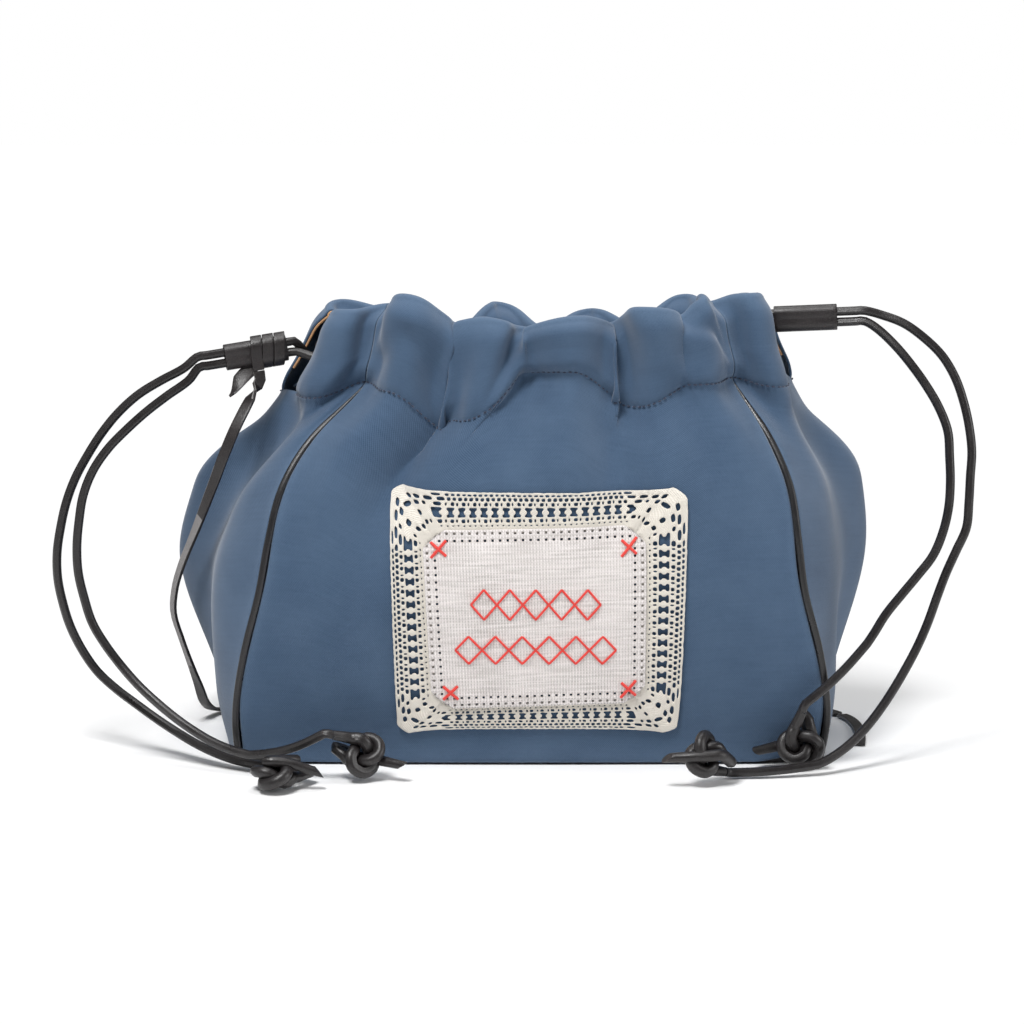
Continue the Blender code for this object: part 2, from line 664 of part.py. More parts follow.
# Place of each knot's middle, the axis of its ring, the way to its cord, and the way of its tail
KNOTS = {
    "left_upper": ((-106, -95, 7.2), (0, 0.15, -1), (0.3, 1, 0), (1, 0.05, -0.1)),
    "left_lower": ((-70, -79, 12.2), (0.1, -0.9, 0.4), (-1, 0, 0.2), (1, -0.3, -0.2)),
    "right_upper": ((78, -86, 13), (-0.6, 0.8, -0.2), (1, 0.5, 0.15), (-1, -0.2, 0)),
    "right_lower": ((121, -61, 12), (0.05, -1, 0.1), (0.3, 0, 1), (-1, 0, -0.2)),
}
ROUTES = {"left_upper": LEFT_UPPER, "left_lower": LEFT_LOWER, "right_upper": RIGHT_UPPER,
          "right_lower": RIGHT_LOWER}
STRAIGHT = 12 * MM          # how far a strand runs straight beyond its slider
KNOT_LEAD = 4 * MM          # how far it runs straight into its knot
KNOT_ENTRY = math.radians(-38)
for name, (place, axis, way, tail_way) in KNOTS.items():
    side, height_name = name.split("_")
    axis = Vector(axis).normalized()
    way = Vector(way)
    way = (way - axis * way.dot(axis)).normalized()
    first = Matrix.Rotation(-KNOT_ENTRY, 3, axis) @ way
    facing = Matrix((first, axis.cross(first), axis)).transposed().to_4x4()
    seat = Matrix.Translation(Vector(place) * MM) @ facing
    line = [seat @ p for p in knot_points()]
    line.append(line[-1] + Vector(tail_way).normalized() * TAIL)
    tube(f"{name}_knot", line, CORD, brown_leather, sides=1)
    middle, along, up = SLIDERS[side]
    strand = middle + up * PAIR / 2 * (1 if height_name == "upper" else -1)
    lead = (line[0] - line[1]).normalized()
    start = [strand + along * d for d in (FIT, SLIDER_LENGTH / 2, SLIDER_LENGTH / 2 + STRAIGHT)]
    stops = [Vector(p) * MM for p in ROUTES[name]] + [line[0] + lead * KNOT_LEAD]
    route = led_route((start,), stops, 11.5 * MM) + [line[0] + lead * FIT]
    tube(f"{name}_strand", route, CORD, brown_leather, sides=2)

# Flat strap: two wraps round the left slider, then down the side and round behind the bag


def band(name, line, sides, look):
    """A flat band of the strap's width and thickness; sides holds the way across it at each point."""
    half = STRAP_WIDTH / 2
    rows = [[p - w.normalized() * half, p + w.normalized() * half] for p, w in zip(line, sides)]
    return sheet(name, rows, STRAP, look)


WRAPS = 2
WRAP_STEP = STRAP_WIDTH + FIT
middle, along, up = SLIDERS["left"]
across = up.cross(along)
wrap_radius = SLIDER_RADIUS + SLIDER_WALL / 2 + FIT + STRAP / 2
wrap_start = middle - along * (SLIDER_LENGTH - STRAP_WIDTH) / 2
line, sides = [], []
WRAP_POINTS = 16
for k in range(WRAPS * WRAP_POINTS + WRAP_POINTS // 4 + 1):
    flat, way = stadium((0.25 - k / WRAP_POINTS) % 1, wrap_radius)
    line.append(wrap_start + across * flat.x + up * flat.y + along * WRAP_STEP * k / WRAP_POINTS)
    sides.append(along)
front_way = line[-1] - line[-2]
front_way = (front_way - along * front_way.dot(along)).normalized()
for k in (1, 2, 3):
    line.append(line[-1] + front_way * 2.5 * MM)
    sides.append(along)
band("strap_knot", line, sides, brown_leather)
strap_end, strap_way = line[-1], front_way

stops = [strap_end + strap_way * 4 * MM] + [Vector(p) * MM for p in STRAP_ROUTE]
line = [strap_end + strap_way * FIT] + smooth_route(stops, 13 * MM)
sides = []
for k, point in enumerate(line):
    ahead = line[min(k + 1, len(line) - 1)] - line[max(k - 1, 0)]
    hang = along if k < 2 else Vector((0.5, -0.85, 0))
    lying = ahead.cross(Vector((0, 0, 1)))
    share = min(1.0, max(0.0, (40 * MM - point.z) / (36 * MM)))
    blend = hang * (1 - share) + lying.normalized() * (share if lying.dot(hang) > 0 else -share)
    blend -= ahead.normalized() * blend.dot(ahead.normalized())
    sides.append(blend)
band("strap", line, sides, brown_leather)

# Label: a linen centre in a lace border, both lying on the front


def on_front(x, z, off):
    """A point off the front panel at a width and a height."""
    v = z / NECK
    for _ in range(3):
        left, right = section(FRONT_LEFT, v * NECK), section(FRONT_RIGHT, v * NECK)
        s = (x - left) / (right - left)
        v = z / sewn("front", s)
    return body("front", s, v, off)


def label_ring(inset, counts, off):
    """Points round the label at a distance inside its outer edge."""
    high, low = LABEL_TOP - inset, LABEL_FOOT + inset
    corners = []
    for x, z, waist in ((LABEL_LEFT + inset, low, LABEL_WAIST), (LABEL_RIGHT - inset, low, -LABEL_WAIST),
                        (LABEL_RIGHT - inset, high, 0), (LABEL_LEFT + inset, high, 0)):
        corners.append((x + waist, z))
    made = []
    for k, count in enumerate(counts):
        (ax, az), (bx, bz) = corners[k], corners[(k + 1) % 4]
        for c in range(count):
            t = c / count
            made.append(on_front(ax + (bx - ax) * t, az + (bz - az) * t, off))
    return made


LABEL_OFF = CLOTH / 2 + 3 * FIT + LACE / 2
across_count, up_count = LACE_COLUMNS
counts = (across_count, up_count, across_count, up_count)
bands = (0, 0.32 * LACE_WIDTH, 0.66 * LACE_WIDTH, LACE_WIDTH)
rows = [label_ring(inset, counts, LABEL_OFF) for inset in bands]
holes = {(1, c) for c in range(1, 2 * (across_count + up_count), 2)}
sheet("lace_border", rows, LACE, cotton, ring=True, skip=holes)

LINEN_GRID = 7
low, high = LABEL_FOOT + LACE_WIDTH + FIT, LABEL_TOP - LACE_WIDTH - FIT
rows = []
for r in range(LINEN_GRID + 1):
    t = r / LINEN_GRID
    z = low + (high - low) * t
    left = LABEL_LEFT + LACE_WIDTH + FIT + LABEL_WAIST * (1 - t)
    right = LABEL_RIGHT - LACE_WIDTH - FIT - LABEL_WAIST * (1 - t)
    rows.append([on_front(left + (right - left) * c / LINEN_GRID, z, LABEL_OFF)
                 for c in range(LINEN_GRID + 1)])
sheet("label_linen", rows, LINEN, flax)
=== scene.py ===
# %% [markdown]
# # A gathered drawstring pouch
# The pouch is a small gusseted bag of blue twill. Its neck is gathered by two leather cords that run
# through a sewn casing and hang down at the sides. The CAD frame holds every piece at its place, and
# this script gives each of them its finish. Lengths are in metres, and the front faces -Y.

# %% Load the frame
import functools
import math
import random

import bmesh
import bpy
from mathutils import Matrix, Vector


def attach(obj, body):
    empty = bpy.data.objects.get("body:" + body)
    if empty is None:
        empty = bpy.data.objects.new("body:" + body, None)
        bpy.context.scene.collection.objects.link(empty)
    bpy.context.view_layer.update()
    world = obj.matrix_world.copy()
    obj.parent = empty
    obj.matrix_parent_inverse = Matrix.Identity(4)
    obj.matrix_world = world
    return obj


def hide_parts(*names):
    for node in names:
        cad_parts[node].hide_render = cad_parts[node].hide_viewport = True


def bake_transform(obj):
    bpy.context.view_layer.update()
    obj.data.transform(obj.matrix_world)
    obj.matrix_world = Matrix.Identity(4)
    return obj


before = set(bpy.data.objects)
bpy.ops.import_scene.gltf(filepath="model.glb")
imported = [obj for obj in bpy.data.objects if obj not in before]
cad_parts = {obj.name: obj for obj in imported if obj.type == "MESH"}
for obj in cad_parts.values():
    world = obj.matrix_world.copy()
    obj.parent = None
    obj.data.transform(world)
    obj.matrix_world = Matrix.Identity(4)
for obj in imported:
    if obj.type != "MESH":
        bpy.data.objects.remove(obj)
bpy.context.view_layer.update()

MM = 0.001
FIT = 0.3 * MM

# %% [markdown]
# ## Camera, light and floor
# The pouch was photographed from the front, a little above the table, with a long lens. The camera
# looks at a point near the middle of the front. Large soft lamps give the even light of a studio, and
# the floor and the world are white only to the camera, so the cloth isn't flooded with light. Both
# are made of shader nodes, which a few short helpers add and wire.

# %% Camera
PIXEL = 0.435 * MM          # real size of a pixel of the photograph at the pouch
TARGET = Vector((-5.2, -50, 112.7)) * MM
DISTANCE = 1.2
ELEVATION = math.radians(9.5)
SENSOR = 36
camera_data = bpy.data.cameras.new("camera")
camera_data.sensor_width = SENSOR
camera_data.lens = SENSOR * DISTANCE / (1024 * PIXEL)
camera = bpy.data.objects.new("camera", camera_data)
bpy.context.collection.objects.link(camera)
camera.location = TARGET + DISTANCE * Vector((0, -math.cos(ELEVATION), math.sin(ELEVATION)))
camera.rotation_euler = (math.pi / 2 - ELEVATION, 0, 0)
bpy.context.scene.camera = camera
bpy.context.scene.view_settings.view_transform = "Standard"
print("lens:", round(camera_data.lens, 1), "mm")


# %% Lamps
def lamp(name, place, aim, size, watts):
    """A square area lamp at a place, turned towards a point."""
    data = bpy.data.lights.new(name, "AREA")
    data.energy = watts
    data.size = size
    made = bpy.data.objects.new(name, data)
    bpy.context.collection.objects.link(made)
    made.location = place
    made.rotation_euler = (Vector(place) - Vector(aim)).to_track_quat("Z", "Y").to_euler()


MIDDLE = (0, 0, 0.1)
lamp("key", (-0.3, -0.62, 1.25), MIDDLE, 0.4, 17)
lamp("right", (1.3, -0.45, 0.6), MIDDLE, 0.7, 7)
lamp("left", (-1.3, -0.3, 0.6), MIDDLE, 0.7, 1.5)
lamp("top", (0.1, 0.3, 1.4), MIDDLE, 0.8, 8)


# %% Node helpers
def new_group(name, inputs, outputs):
    """An empty node group with inputs (name, value) and outputs (name, kind); no value means a vector."""
    group = bpy.data.node_groups.new(name, "ShaderNodeTree")
    for label, value in inputs:
        kind = "NodeSocketVector" if value is None else "NodeSocketFloat"
        socket = group.interface.new_socket(label, in_out="INPUT", socket_type=kind)
        if value is not None:
            socket.default_value = value
    for label, kind in outputs:
        group.interface.new_socket(label, in_out="OUTPUT", socket_type=kind)
    group.nodes.new("NodeGroupInput").name = "in"
    group.nodes.new("NodeGroupOutput").name = "out"
    return group


def node(tree, kind, wires=(), **settings):
    """Add a node, set its properties, and wire or fill inputs given as (input, value or socket)."""
    made = tree.nodes.new("ShaderNode" + kind)
    for key, value in settings.items():
        setattr(made, key, value)
    for place, value in wires:
        if isinstance(value, bpy.types.NodeSocket):
            tree.links.new(value, made.inputs[place])
        else:
            made.inputs[place].default_value = value
    return made


def maths(tree, operation, a, b=0.0, c=0.0):
    """The output of a Math node on sockets or numbers."""
    return node(tree, "Math", ((0, a), (1, b), (2, c)), operation=operation).outputs[0]


def mix_colour(tree, share, a, b, blend="MIX"):
    """The output of a colour Mix node; a and b are sockets or colours."""
    made = node(tree, "Mix", (("Factor", share), (6, a), (7, b)), data_type="RGBA", blend_type=blend)
    return made.outputs[2]


def noise(tree, place, scale, detail=3.0, rough=0.5):
    """The output of a Noise texture."""
    wires = (("Vector", place), ("Scale", scale), ("Detail", detail), ("Roughness", rough))
    return node(tree, "TexNoise", wires).outputs[0]


# %% World
WORLD_LIGHT = 0.16          # strength of the world for every ray that the camera doesn't send out
world = bpy.data.worlds.new("studio")
bpy.context.scene.world = world
world.use_nodes = True
tree = world.node_tree
background = tree.nodes["Background"]
background.inputs["Color"].default_value = (1, 1, 1, 1)
rays = node(tree, "LightPath").outputs
seen = maths(tree, "MAXIMUM", rays["Is Camera Ray"], rays["Is Transmission Ray"])
strength = node(tree, "MapRange", (("Value", seen), ("To Min", WORLD_LIGHT), ("To Max", 1.0)))
tree.links.new(strength.outputs[0], background.inputs["Strength"])

# %% Floor
FLOOR_SIZE = 16
WHITE_FROM, WHITE_AT = 0.16, 0.42      # distances over which the floor turns into the white backdrop
PAPER = (0.93, 0.93, 0.93, 1)
bpy.ops.object.select_all(action="DESELECT")
bpy.ops.mesh.primitive_plane_add(size=FLOOR_SIZE)
floor = bpy.context.object
floor.name = "floor"
paper = bpy.data.materials.new("white paper")
paper.use_nodes = True
tree = paper.node_tree
shader = tree.nodes["Principled BSDF"]
shader.inputs["Roughness"].default_value = 0.9
shader.inputs["Emission Color"].default_value = (1, 1, 1, 1)
away = node(tree, "VectorMath", ((0, node(tree, "TexCoord").outputs["Object"]),), operation="LENGTH")
far = node(tree, "MapRange", (("Value", away.outputs["Value"]), ("From Min", WHITE_FROM),
                              ("From Max", WHITE_AT)), interpolation_type="SMOOTHSTEP")
backdrop = maths(tree, "MULTIPLY", far.outputs[0], node(tree, "LightPath").outputs["Is Camera Ray"])
tree.links.new(backdrop, shader.inputs["Emission Strength"])
tree.links.new(mix_colour(tree, backdrop, PAPER, (0, 0, 0, 1)), shader.inputs["Base Color"])
floor.data.materials.append(paper)

# %% [markdown]
# ## Finishes
# Three effects come back on several pieces: the weave of cloth, the grain of leather and the slow
# fading of dyed cloth. Each is a node group, a small machine with named inputs and outputs, so a
# material only sets its own sizes and colours. Most cloth reads the UV map, which holds real metres
# along and across the piece, so threads stay the same size everywhere and follow the folds; leather
# reads the coordinates of its own object.

# %% Weave group
weave = new_group("weave", (("Place", None), ("Pitch", 1 * MM), ("Slant", 1.0), ("Slub", 0.5)),
                  (("Threads", "NodeSocketFloat"), ("Height", "NodeSocketFloat")))
g, sockets = weave, weave.nodes["in"].outputs
uv = sockets["Place"]
split = node(g, "SeparateXYZ", ((0, uv),))
wobble = maths(g, "MULTIPLY", maths(g, "SUBTRACT", noise(g, uv, 420.0, 2.0), 0.5), 2.4)
turn = maths(g, "DIVIDE", math.tau, sockets["Pitch"])
across = maths(g, "ADD", maths(g, "MULTIPLY", split.outputs[0], turn), wobble)
along = maths(g, "ADD", maths(g, "MULTIPLY", split.outputs[1], turn), wobble)
warp = maths(g, "SINE", across)
weft = maths(g, "SINE", along)
rib = maths(g, "SINE", maths(g, "ADD", across, maths(g, "MULTIPLY", along, sockets["Slant"])))
crossing = maths(g, "MULTIPLY", warp, weft)
threads = maths(g, "ADD", maths(g, "MULTIPLY", rib, 0.3), maths(g, "MULTIPLY", crossing, 0.2))
streaks = node(g, "Mapping", (("Vector", uv), ("Scale", (60, 900, 1))))
slub = maths(g, "SUBTRACT", noise(g, streaks.outputs[0], 1.0, 2.0), 0.5)
threads = maths(g, "ADD", threads, maths(g, "MULTIPLY", slub, sockets["Slub"]))
threads = maths(g, "ADD", threads, 0.5)
g.links.new(threads, g.nodes["out"].inputs["Threads"])
g.links.new(threads, g.nodes["out"].inputs["Height"])

# %% Grain group
grain = new_group("leather grain", (("Size", 1.1 * MM),),
                  [(label, "NodeSocketFloat") for label in ("Creases", "Height", "Patches")])
g = grain
spot = node(g, "TexCoord").outputs["Object"]
per_metre = maths(g, "DIVIDE", 1.0, g.nodes["in"].outputs["Size"])
cells = node(g, "TexVoronoi", (("Vector", spot), ("Scale", per_metre)), feature="DISTANCE_TO_EDGE")
creases = node(g, "MapRange", ((0, cells.outputs["Distance"]), (1, 0.0), (2, 0.22), (3, 0.0), (4, 1.0)))
pores = noise(g, spot, 2600.0, 2.0)
height = maths(g, "ADD", maths(g, "MULTIPLY", creases.outputs[0], 0.7), maths(g, "MULTIPLY", pores, 0.3))
g.links.new(creases.outputs[0], g.nodes["out"].inputs["Creases"])
g.links.new(height, g.nodes["out"].inputs["Height"])
g.links.new(noise(g, spot, 90.0, 3.0), g.nodes["out"].inputs["Patches"])

# %% Fading group, whose worn edges also carry a painted highlight
fading = new_group("fading", (("Wear_and_highlight", 0.0), ("Size", 0.03)), (("Fade", "NodeSocketFloat"),))
g = fading
spot = node(g, "TexCoord").outputs["Object"]
per_metre = maths(g, "DIVIDE", 1.0, g.nodes["in"].outputs["Size"])
clouds = noise(g, spot, per_metre, 4.0, 0.6)
speckle = noise(g, spot, 1500.0, 2.0)
fade = maths(g, "ADD", maths(g, "MULTIPLY", clouds, 0.75), maths(g, "MULTIPLY", speckle, 0.25))
fade = node(g, "MapRange", ((0, fade), (1, 0.3), (2, 0.7))).outputs[0]
# Worn places fade further towards the pale colour: partly real wear, partly a painted highlight on the ridges
worn_and_lit = maths(g, "MULTIPLY", g.nodes["in"].outputs["Wear_and_highlight"], maths(g, "ADD", speckle, 0.35))
g.links.new(maths(g, "ADD", maths(g, "MULTIPLY", fade, 0.6), worn_and_lit), g.nodes["out"].inputs["Fade"])


# %% Cloth and leather materials
def blank(name, roughness, sheen=0.0):
    """A material with a Principled shader: its tree and its shader."""
    made = bpy.data.materials.new(name)
    made.use_nodes = True
    shader = made.node_tree.nodes["Principled BSDF"]
    shader.inputs["Roughness"].default_value = roughness
    shader.inputs["Sheen Weight"].default_value = sheen
    return made, made.node_tree, shader


def bump(tree, shader, height, depth, strength=1.0):
    """Feed a height into the shader's normal; depth is the relief in metres."""
    made = node(tree, "Bump", (("Strength", strength), ("Distance", depth), ("Height", height)))
    tree.links.new(made.outputs[0], shader.inputs["Normal"])


def cloth(name, dark, light, faded, pitch, slant, slub, depth, sheen=0.25, wear_and_highlight=0.0, space="UV"):
    """Woven cloth: two thread colours, a faded colour, and the relief of the threads."""
    made, tree, shader = blank(name, 0.9, sheen)
    place = node(tree, "TexCoord").outputs[space]
    threads = node(tree, "Group", (("Place", place), ("Pitch", pitch), ("Slant", slant), ("Slub", slub)),
                   node_tree=weave)
    # The per-point attribute lightens the cloth at its edges: partly real wear, partly a painted highlight on
    # the ridges
    rubbed_and_lit = maths(tree, "MULTIPLY", node(tree, "Attribute", attribute_name="wear_and_highlight").outputs["Fac"], wear_and_highlight)
    fade = node(tree, "Group", (("Wear_and_highlight", rubbed_and_lit),), node_tree=fading)
    colour = mix_colour(tree, threads.outputs["Threads"], (*dark, 1), (*light, 1))
    colour = mix_colour(tree, fade.outputs["Fade"], colour, (*faded, 1))
    tree.links.new(colour, shader.inputs["Base Color"])
    bump(tree, shader, threads.outputs["Height"], depth)
    return made


def leather(name, dark, light, roughness, size, depth):
    """Dyed leather: creases and pores, with slightly uneven gloss."""
    made, tree, shader = blank(name, roughness)
    skin = node(tree, "Group", (("Size", size),), node_tree=grain)
    share = maths(tree, "MULTIPLY", skin.outputs["Patches"], skin.outputs["Creases"])
    tree.links.new(mix_colour(tree, share, (*dark, 1), (*light, 1)), shader.inputs["Base Color"])
    gloss = node(tree, "MapRange", ((0, skin.outputs["Patches"]), (1, 0.3), (2, 0.7),
                                    (3, roughness - 0.1), (4, roughness + 0.1)))
    tree.links.new(gloss.outputs[0], shader.inputs["Roughness"])
    bump(tree, shader, skin.outputs["Height"], depth, 0.6)
    return made


# The third blue is the faded cloth; the worn edges and the painted highlight on the ridges lighten towards it
# too
BLUES = (0.011, 0.037, 0.084), (0.052, 0.100, 0.178), (0.070, 0.122, 0.202)
twill = cloth("blue twill", *BLUES, 0.8 * MM, 1.0, 0.45, 0.06 * MM, wear_and_highlight=0.8)
twill_base = cloth("blue twill of the base", *BLUES, 0.8 * MM, 1.0, 0.45, 0.06 * MM, space="Object")
linen = cloth("unbleached linen", (0.42, 0.39, 0.37), (0.84, 0.79, 0.78), (0.77, 0.72, 0.70),
              1.3 * MM, 0.0, 1.7, 0.25 * MM)
cotton = cloth("cotton lace", (0.66, 0.61, 0.53), (0.84, 0.80, 0.73), (0.80, 0.75, 0.67),
               0.7 * MM, 1.0, 0.6, 0.25 * MM)
lining_cloth = cloth("lining cloth", (0.25, 0.23, 0.2), (0.4, 0.37, 0.33), (0.35, 0.33, 0.3),
                     0.6 * MM, 0.0, 0.4, 0.08 * MM)
# Dark and light colour, roughness, and the size and depth of the grain in millimetres
LEATHERS = {
    "cord leather": ((0.010, 0.0085, 0.009), (0.030, 0.026, 0.026), 0.36, 0.9, 0.05),
    "slider leather": ((0.011, 0.009, 0.0095), (0.035, 0.028, 0.028), 0.42, 1.0, 0.08),
    "welt leather": ((0.008, 0.008, 0.009), (0.026, 0.025, 0.027), 0.34, 0.8, 0.05),
    "raw tan leather": ((0.42, 0.22, 0.1), (0.62, 0.38, 0.2), 0.6, 0.8, 0.05),
    "grey suede": ((0.20, 0.19, 0.19), (0.34, 0.33, 0.33), 0.8, 0.6, 0.05),
}
cord_leather, slider_leather, welt_leather, tan_leather, grey_suede = (
    leather(name, *look, size * MM, depth * MM) for name, (*look, size, depth) in LEATHERS.items())


def thread(name, dark, light):
    """Sewing thread with a fine twist."""
    made, tree, shader = blank(name, 0.75, 0.3)
    spot = node(tree, "TexCoord").outputs["Object"]
    colour = mix_colour(tree, noise(tree, spot, 2500.0, 2.0), (*dark, 1), (*light, 1))
    tree.links.new(colour, shader.inputs["Base Color"])
    bump(tree, shader, noise(tree, spot, 4000.0, 1.0), 0.1 * MM)
    return made


navy_thread = thread("navy thread", (0.008, 0.014, 0.035), (0.03, 0.045, 0.09))
red_thread = thread("red thread", (0.55, 0.015, 0.012), (0.86, 0.07, 0.05))
print("materials:", len(bpy.data.materials))

# %% [markdown]
# ## The shape of the cloth
# Five pieces make the bag: a front, a back and two folded gussets, sewn with leather piping between
# them, and a base. Each is described by its width and depth at seven heights. The neck then swings in
# and out of that plan where the cords gather it. The same sizes made the CAD solids, so the finer
# cloth here lies exactly where they do, and only small wrinkles are added.

# %% Widths, depths and folds, in millimetres
NECK, CASING = 160 * MM, 40 * MM
CLOTH, LINING = 1.2 * MM, 0.8 * MM
GATHER, CHANNEL, HEM_LAP, RIM_BEND = 15 * MM, 4 * MM, 0.9 * MM, 2.2 * MM
FADE_FROM, CORD_SWING = 0.5, 0.15
CHANNEL_FROM, CHANNEL_MIDDLE, CHANNEL_TO = 0.28, 0.54, 0.8
CORNER, SLIT, SEAM_LAP = 12 * MM, 22 * MM, 0.25 * MM
HEIGHTS = (0, 30, 80, 115, 140, 160, 200)
SIDES = {
    "front_left": (-125, -126, -114, -107, -93, -69, -61),
    "front_right": (130, 133, 121, 117, 107, 94, 86),
    "depth": (50, 51, 52, 46, 37, 24, 20),
    "bulge": (2, 6, 10, 11, 10, 11, 11),
    "left_front_lobe": (-131, -137, -136, -123, -105, -91, -75),
    "left_fold": (-130, -135, -141, -128, -110, -106, -86),
    "left_back_lobe": (-132, -143, -158, -150, -137, -109, -85),
    "right_front_lobe": (135, 139, 137, 132, 121, 107, 94),
    "right_fold": (133, 137, 145, 136, 117, 112, 98),
    "right_back_lobe": (136, 145, 157, 154, 144, 122, 100),
}
LOBE_DEPTH = 0.55
GUSSET_FOLDS = ((0, 0.2), (0.25, 0.85), (0.44, 0.5), (0.56, 0.5), (0.75, 0.85), (1, 0.2))
FOLDS = {
    "front": ((0, 0.2), (0.1, 1), (0.2, 0), (0.3, 0.8), (0.42, 0.3), (0.54, 1), (0.67, 0),
              (0.78, 1), (0.85, 0.7), (0.9, 0.8), (1, 0.2)),
    "right": GUSSET_FOLDS,
    "back": ((0, 0.2), (0.12, 1), (0.24, 0.1), (0.38, 0.9), (0.52, 0), (0.65, 1), (0.78, 0.1),
             (0.9, 0.9), (1, 0.2)),
    "left": GUSSET_FOLDS,
}
SEWN = {
    "front": ((0, 166), (0.08, 164), (0.18, 146), (0.27, 151), (0.42, 172), (0.55, 173),
              (0.66, 159), (0.73, 157), (0.86, 167), (1, 168)),
    "right": ((0, 168), (0.25, 164), (0.5, 169), (0.75, 163), (1, 164)),
    "back": ((0, 164), (0.12, 168), (0.24, 157), (0.38, 170), (0.52, 156), (0.65, 169),
             (0.78, 155), (0.9, 165), (1, 160)),
    "left": ((0, 160), (0.25, 158), (0.5, 160), (0.75, 159), (1, 166)),
}
TOP = {
    "front": ((0, 200), (0.09, 206), (0.2, 190), (0.3, 196), (0.42, 191), (0.56, 197),
              (0.67, 192), (0.77, 201), (0.87, 196), (0.94, 205), (1, 201)),
    "right": ((0, 201), (0.22, 205), (0.5, 199), (0.78, 202), (1, 197)),
    "back": ((0, 197), (0.1, 200), (0.24, 188), (0.36, 193), (0.52, 186), (0.67, 196),
             (0.78, 187), (0.9, 196), (1, 196)),
    "left": ((0, 196), (0.22, 199), (0.5, 192), (0.78, 198), (1, 200)),
}
ORDER = ("front", "right", "back", "left")
SHARE_OF_WIDTH = {"front": 160 * MM, "back": 160 * MM, "left": 56 * MM, "right": 56 * MM}


# %% Curves through given values
def clamp(share):
    """Keep a share between 0 and 1."""
    return min(1.0, max(0.0, share))


def ease(knots, place):
    """Read a value between given knots, with a level stop at each knot."""
    for (start, low), (end, high) in zip(knots, knots[1:]):
        if place <= end:
            share = (max(place, start) - start) / (end - start)
            return low + (high - low) * (1 - math.cos(math.pi * share)) / 2
    return knots[-1][1]


def spline(values, stops, place):
    """Read a smooth curve through values set at rising stops."""
    last = len(stops) - 2
    i = max(0, min(last, sum(place >= p for p in stops) - 1))
    gap = stops[i + 1] - stops[i]
    t = (place - stops[i]) / gap

    def slope(k):
        low, high = max(k - 1, 0), min(k + 1, len(stops) - 1)
        return (values[high] - values[low]) / (stops[high] - stops[low])

    a, b = values[i], values[i + 1]
    da, db = slope(i) * gap, slope(i + 1) * gap
    return a + da * t + (3 * (b - a) - 2 * da - db) * t * t + (2 * (a - b) + da + db) * t ** 3


@functools.lru_cache(maxsize=None)
def section(side, height):
    """A width or depth of the bag at a height, both in metres."""
    return spline(SIDES[side], HEIGHTS, height / MM) * MM


# %% Ground plan of the bag
GUSSET_STOPS = (0, 0.24, 0.5, 0.76, 1)


def plain(panel, s, height):
    """Ground plan of a panel before its corners are softened; s runs from 0 to 1, counterclockwise."""
    left, right = section("front_left", height), section("front_right", height)
    depth = section("depth", height)
    if panel in ("front", "back"):
        swell = depth + section("bulge", height) * math.sin(math.pi * s) ** 0.8
        if panel == "front":
            return Vector((left + (right - left) * s, -swell))
        return Vector((right + (left - right) * s, swell))
    across = (-depth, -LOBE_DEPTH * depth, 0, LOBE_DEPTH * depth, depth)
    seam = right if panel == "right" else left
    near, far = ("front", "back") if panel == "right" else ("back", "front")
    out = (seam, section(f"{panel}_{near}_lobe", height), section(f"{panel}_fold", height),
           section(f"{panel}_{far}_lobe", height), seam)
    y = spline(across, GUSSET_STOPS, s)
    return Vector((spline(out, GUSSET_STOPS, s), y if panel == "right" else -y))


def beside(panel, s):
    """Carry a place past a panel's end into the next panel."""
    if 0 <= s <= 1:
        return panel, s
    other = ORDER[(ORDER.index(panel) + (1 if s > 1 else -1)) % 4]
    past = (s - 1 if s > 1 else -s) * SHARE_OF_WIDTH[panel] / SHARE_OF_WIDTH[other]
    return other, (past if s > 1 else 1 - past)


def outline(panel, s, height):
    """Ground plan of a panel without its folds; its corners soften towards the neck."""
    soft = clamp((height / NECK - 0.72) / 0.2)
    if not soft:
        return plain(panel, s, height)
    reach = CORNER * soft / SHARE_OF_WIDTH[panel]
    total = Vector((0, 0))
    for k in (-2, -1, 0, 1, 2):
        total += plain(*beside(panel, s + reach * k / 2), height)
    return total / 5


def outward(path, panel, s):
    """The outward direction of a ground plan at s, shared by two panels where they meet."""
    step = 1.5 * MM / SHARE_OF_WIDTH[panel]
    along = path(*beside(panel, s + step)) - path(*beside(panel, s - step))
    return Vector((along.y, -along.x)).normalized()


def fold(panel, s):
    """How far the gathered neck swings out of its mean line at s."""
    return GATHER * (ease(FOLDS[panel], s) - 0.5)


def mean(panel, s, height, swing):
    """Ground plan of a panel with its folds."""
    out = outward(lambda p, t: outline(p, t, height), panel, s)
    return outline(panel, s, height) + out * fold(panel, s) * swing


def off_mean(panel, s, height, swing, off):
    """A point set off from the folded ground plan along its own outward direction."""
    plan = mean(panel, s, height, swing)
    if off:
        plan += outward(lambda p, t: mean(p, t, height, swing), panel, s) * off
    return plan


# %% Body, casing and rim of the cloth
def gathered(v):
    """How much of the neck's folds the cloth has at a height share."""
    return max(0.0, (v - FADE_FROM) / (1 - FADE_FROM)) ** 2


def sewn(panel, s):
    """Height of the stitch line."""
    return ease(SEWN[panel], s) * MM


def top(panel, s):
    """Height of the top edge."""
    return ease(TOP[panel], s) * MM


def body(panel, s, v, off=0.0):
    """A point of the cloth below the stitch line, v from 0 at the base to 1 at the stitches."""
    plan = off_mean(panel, s, v * NECK, gathered(v), off)
    return Vector((plan.x, plan.y, v * sewn(panel, s)))


def level(panel, s, share):
    """Height in the casing, share 0 at the stitches and 1 where the rim starts to bend."""
    return sewn(panel, s) + (top(panel, s) - RIM_BEND - sewn(panel, s)) * share


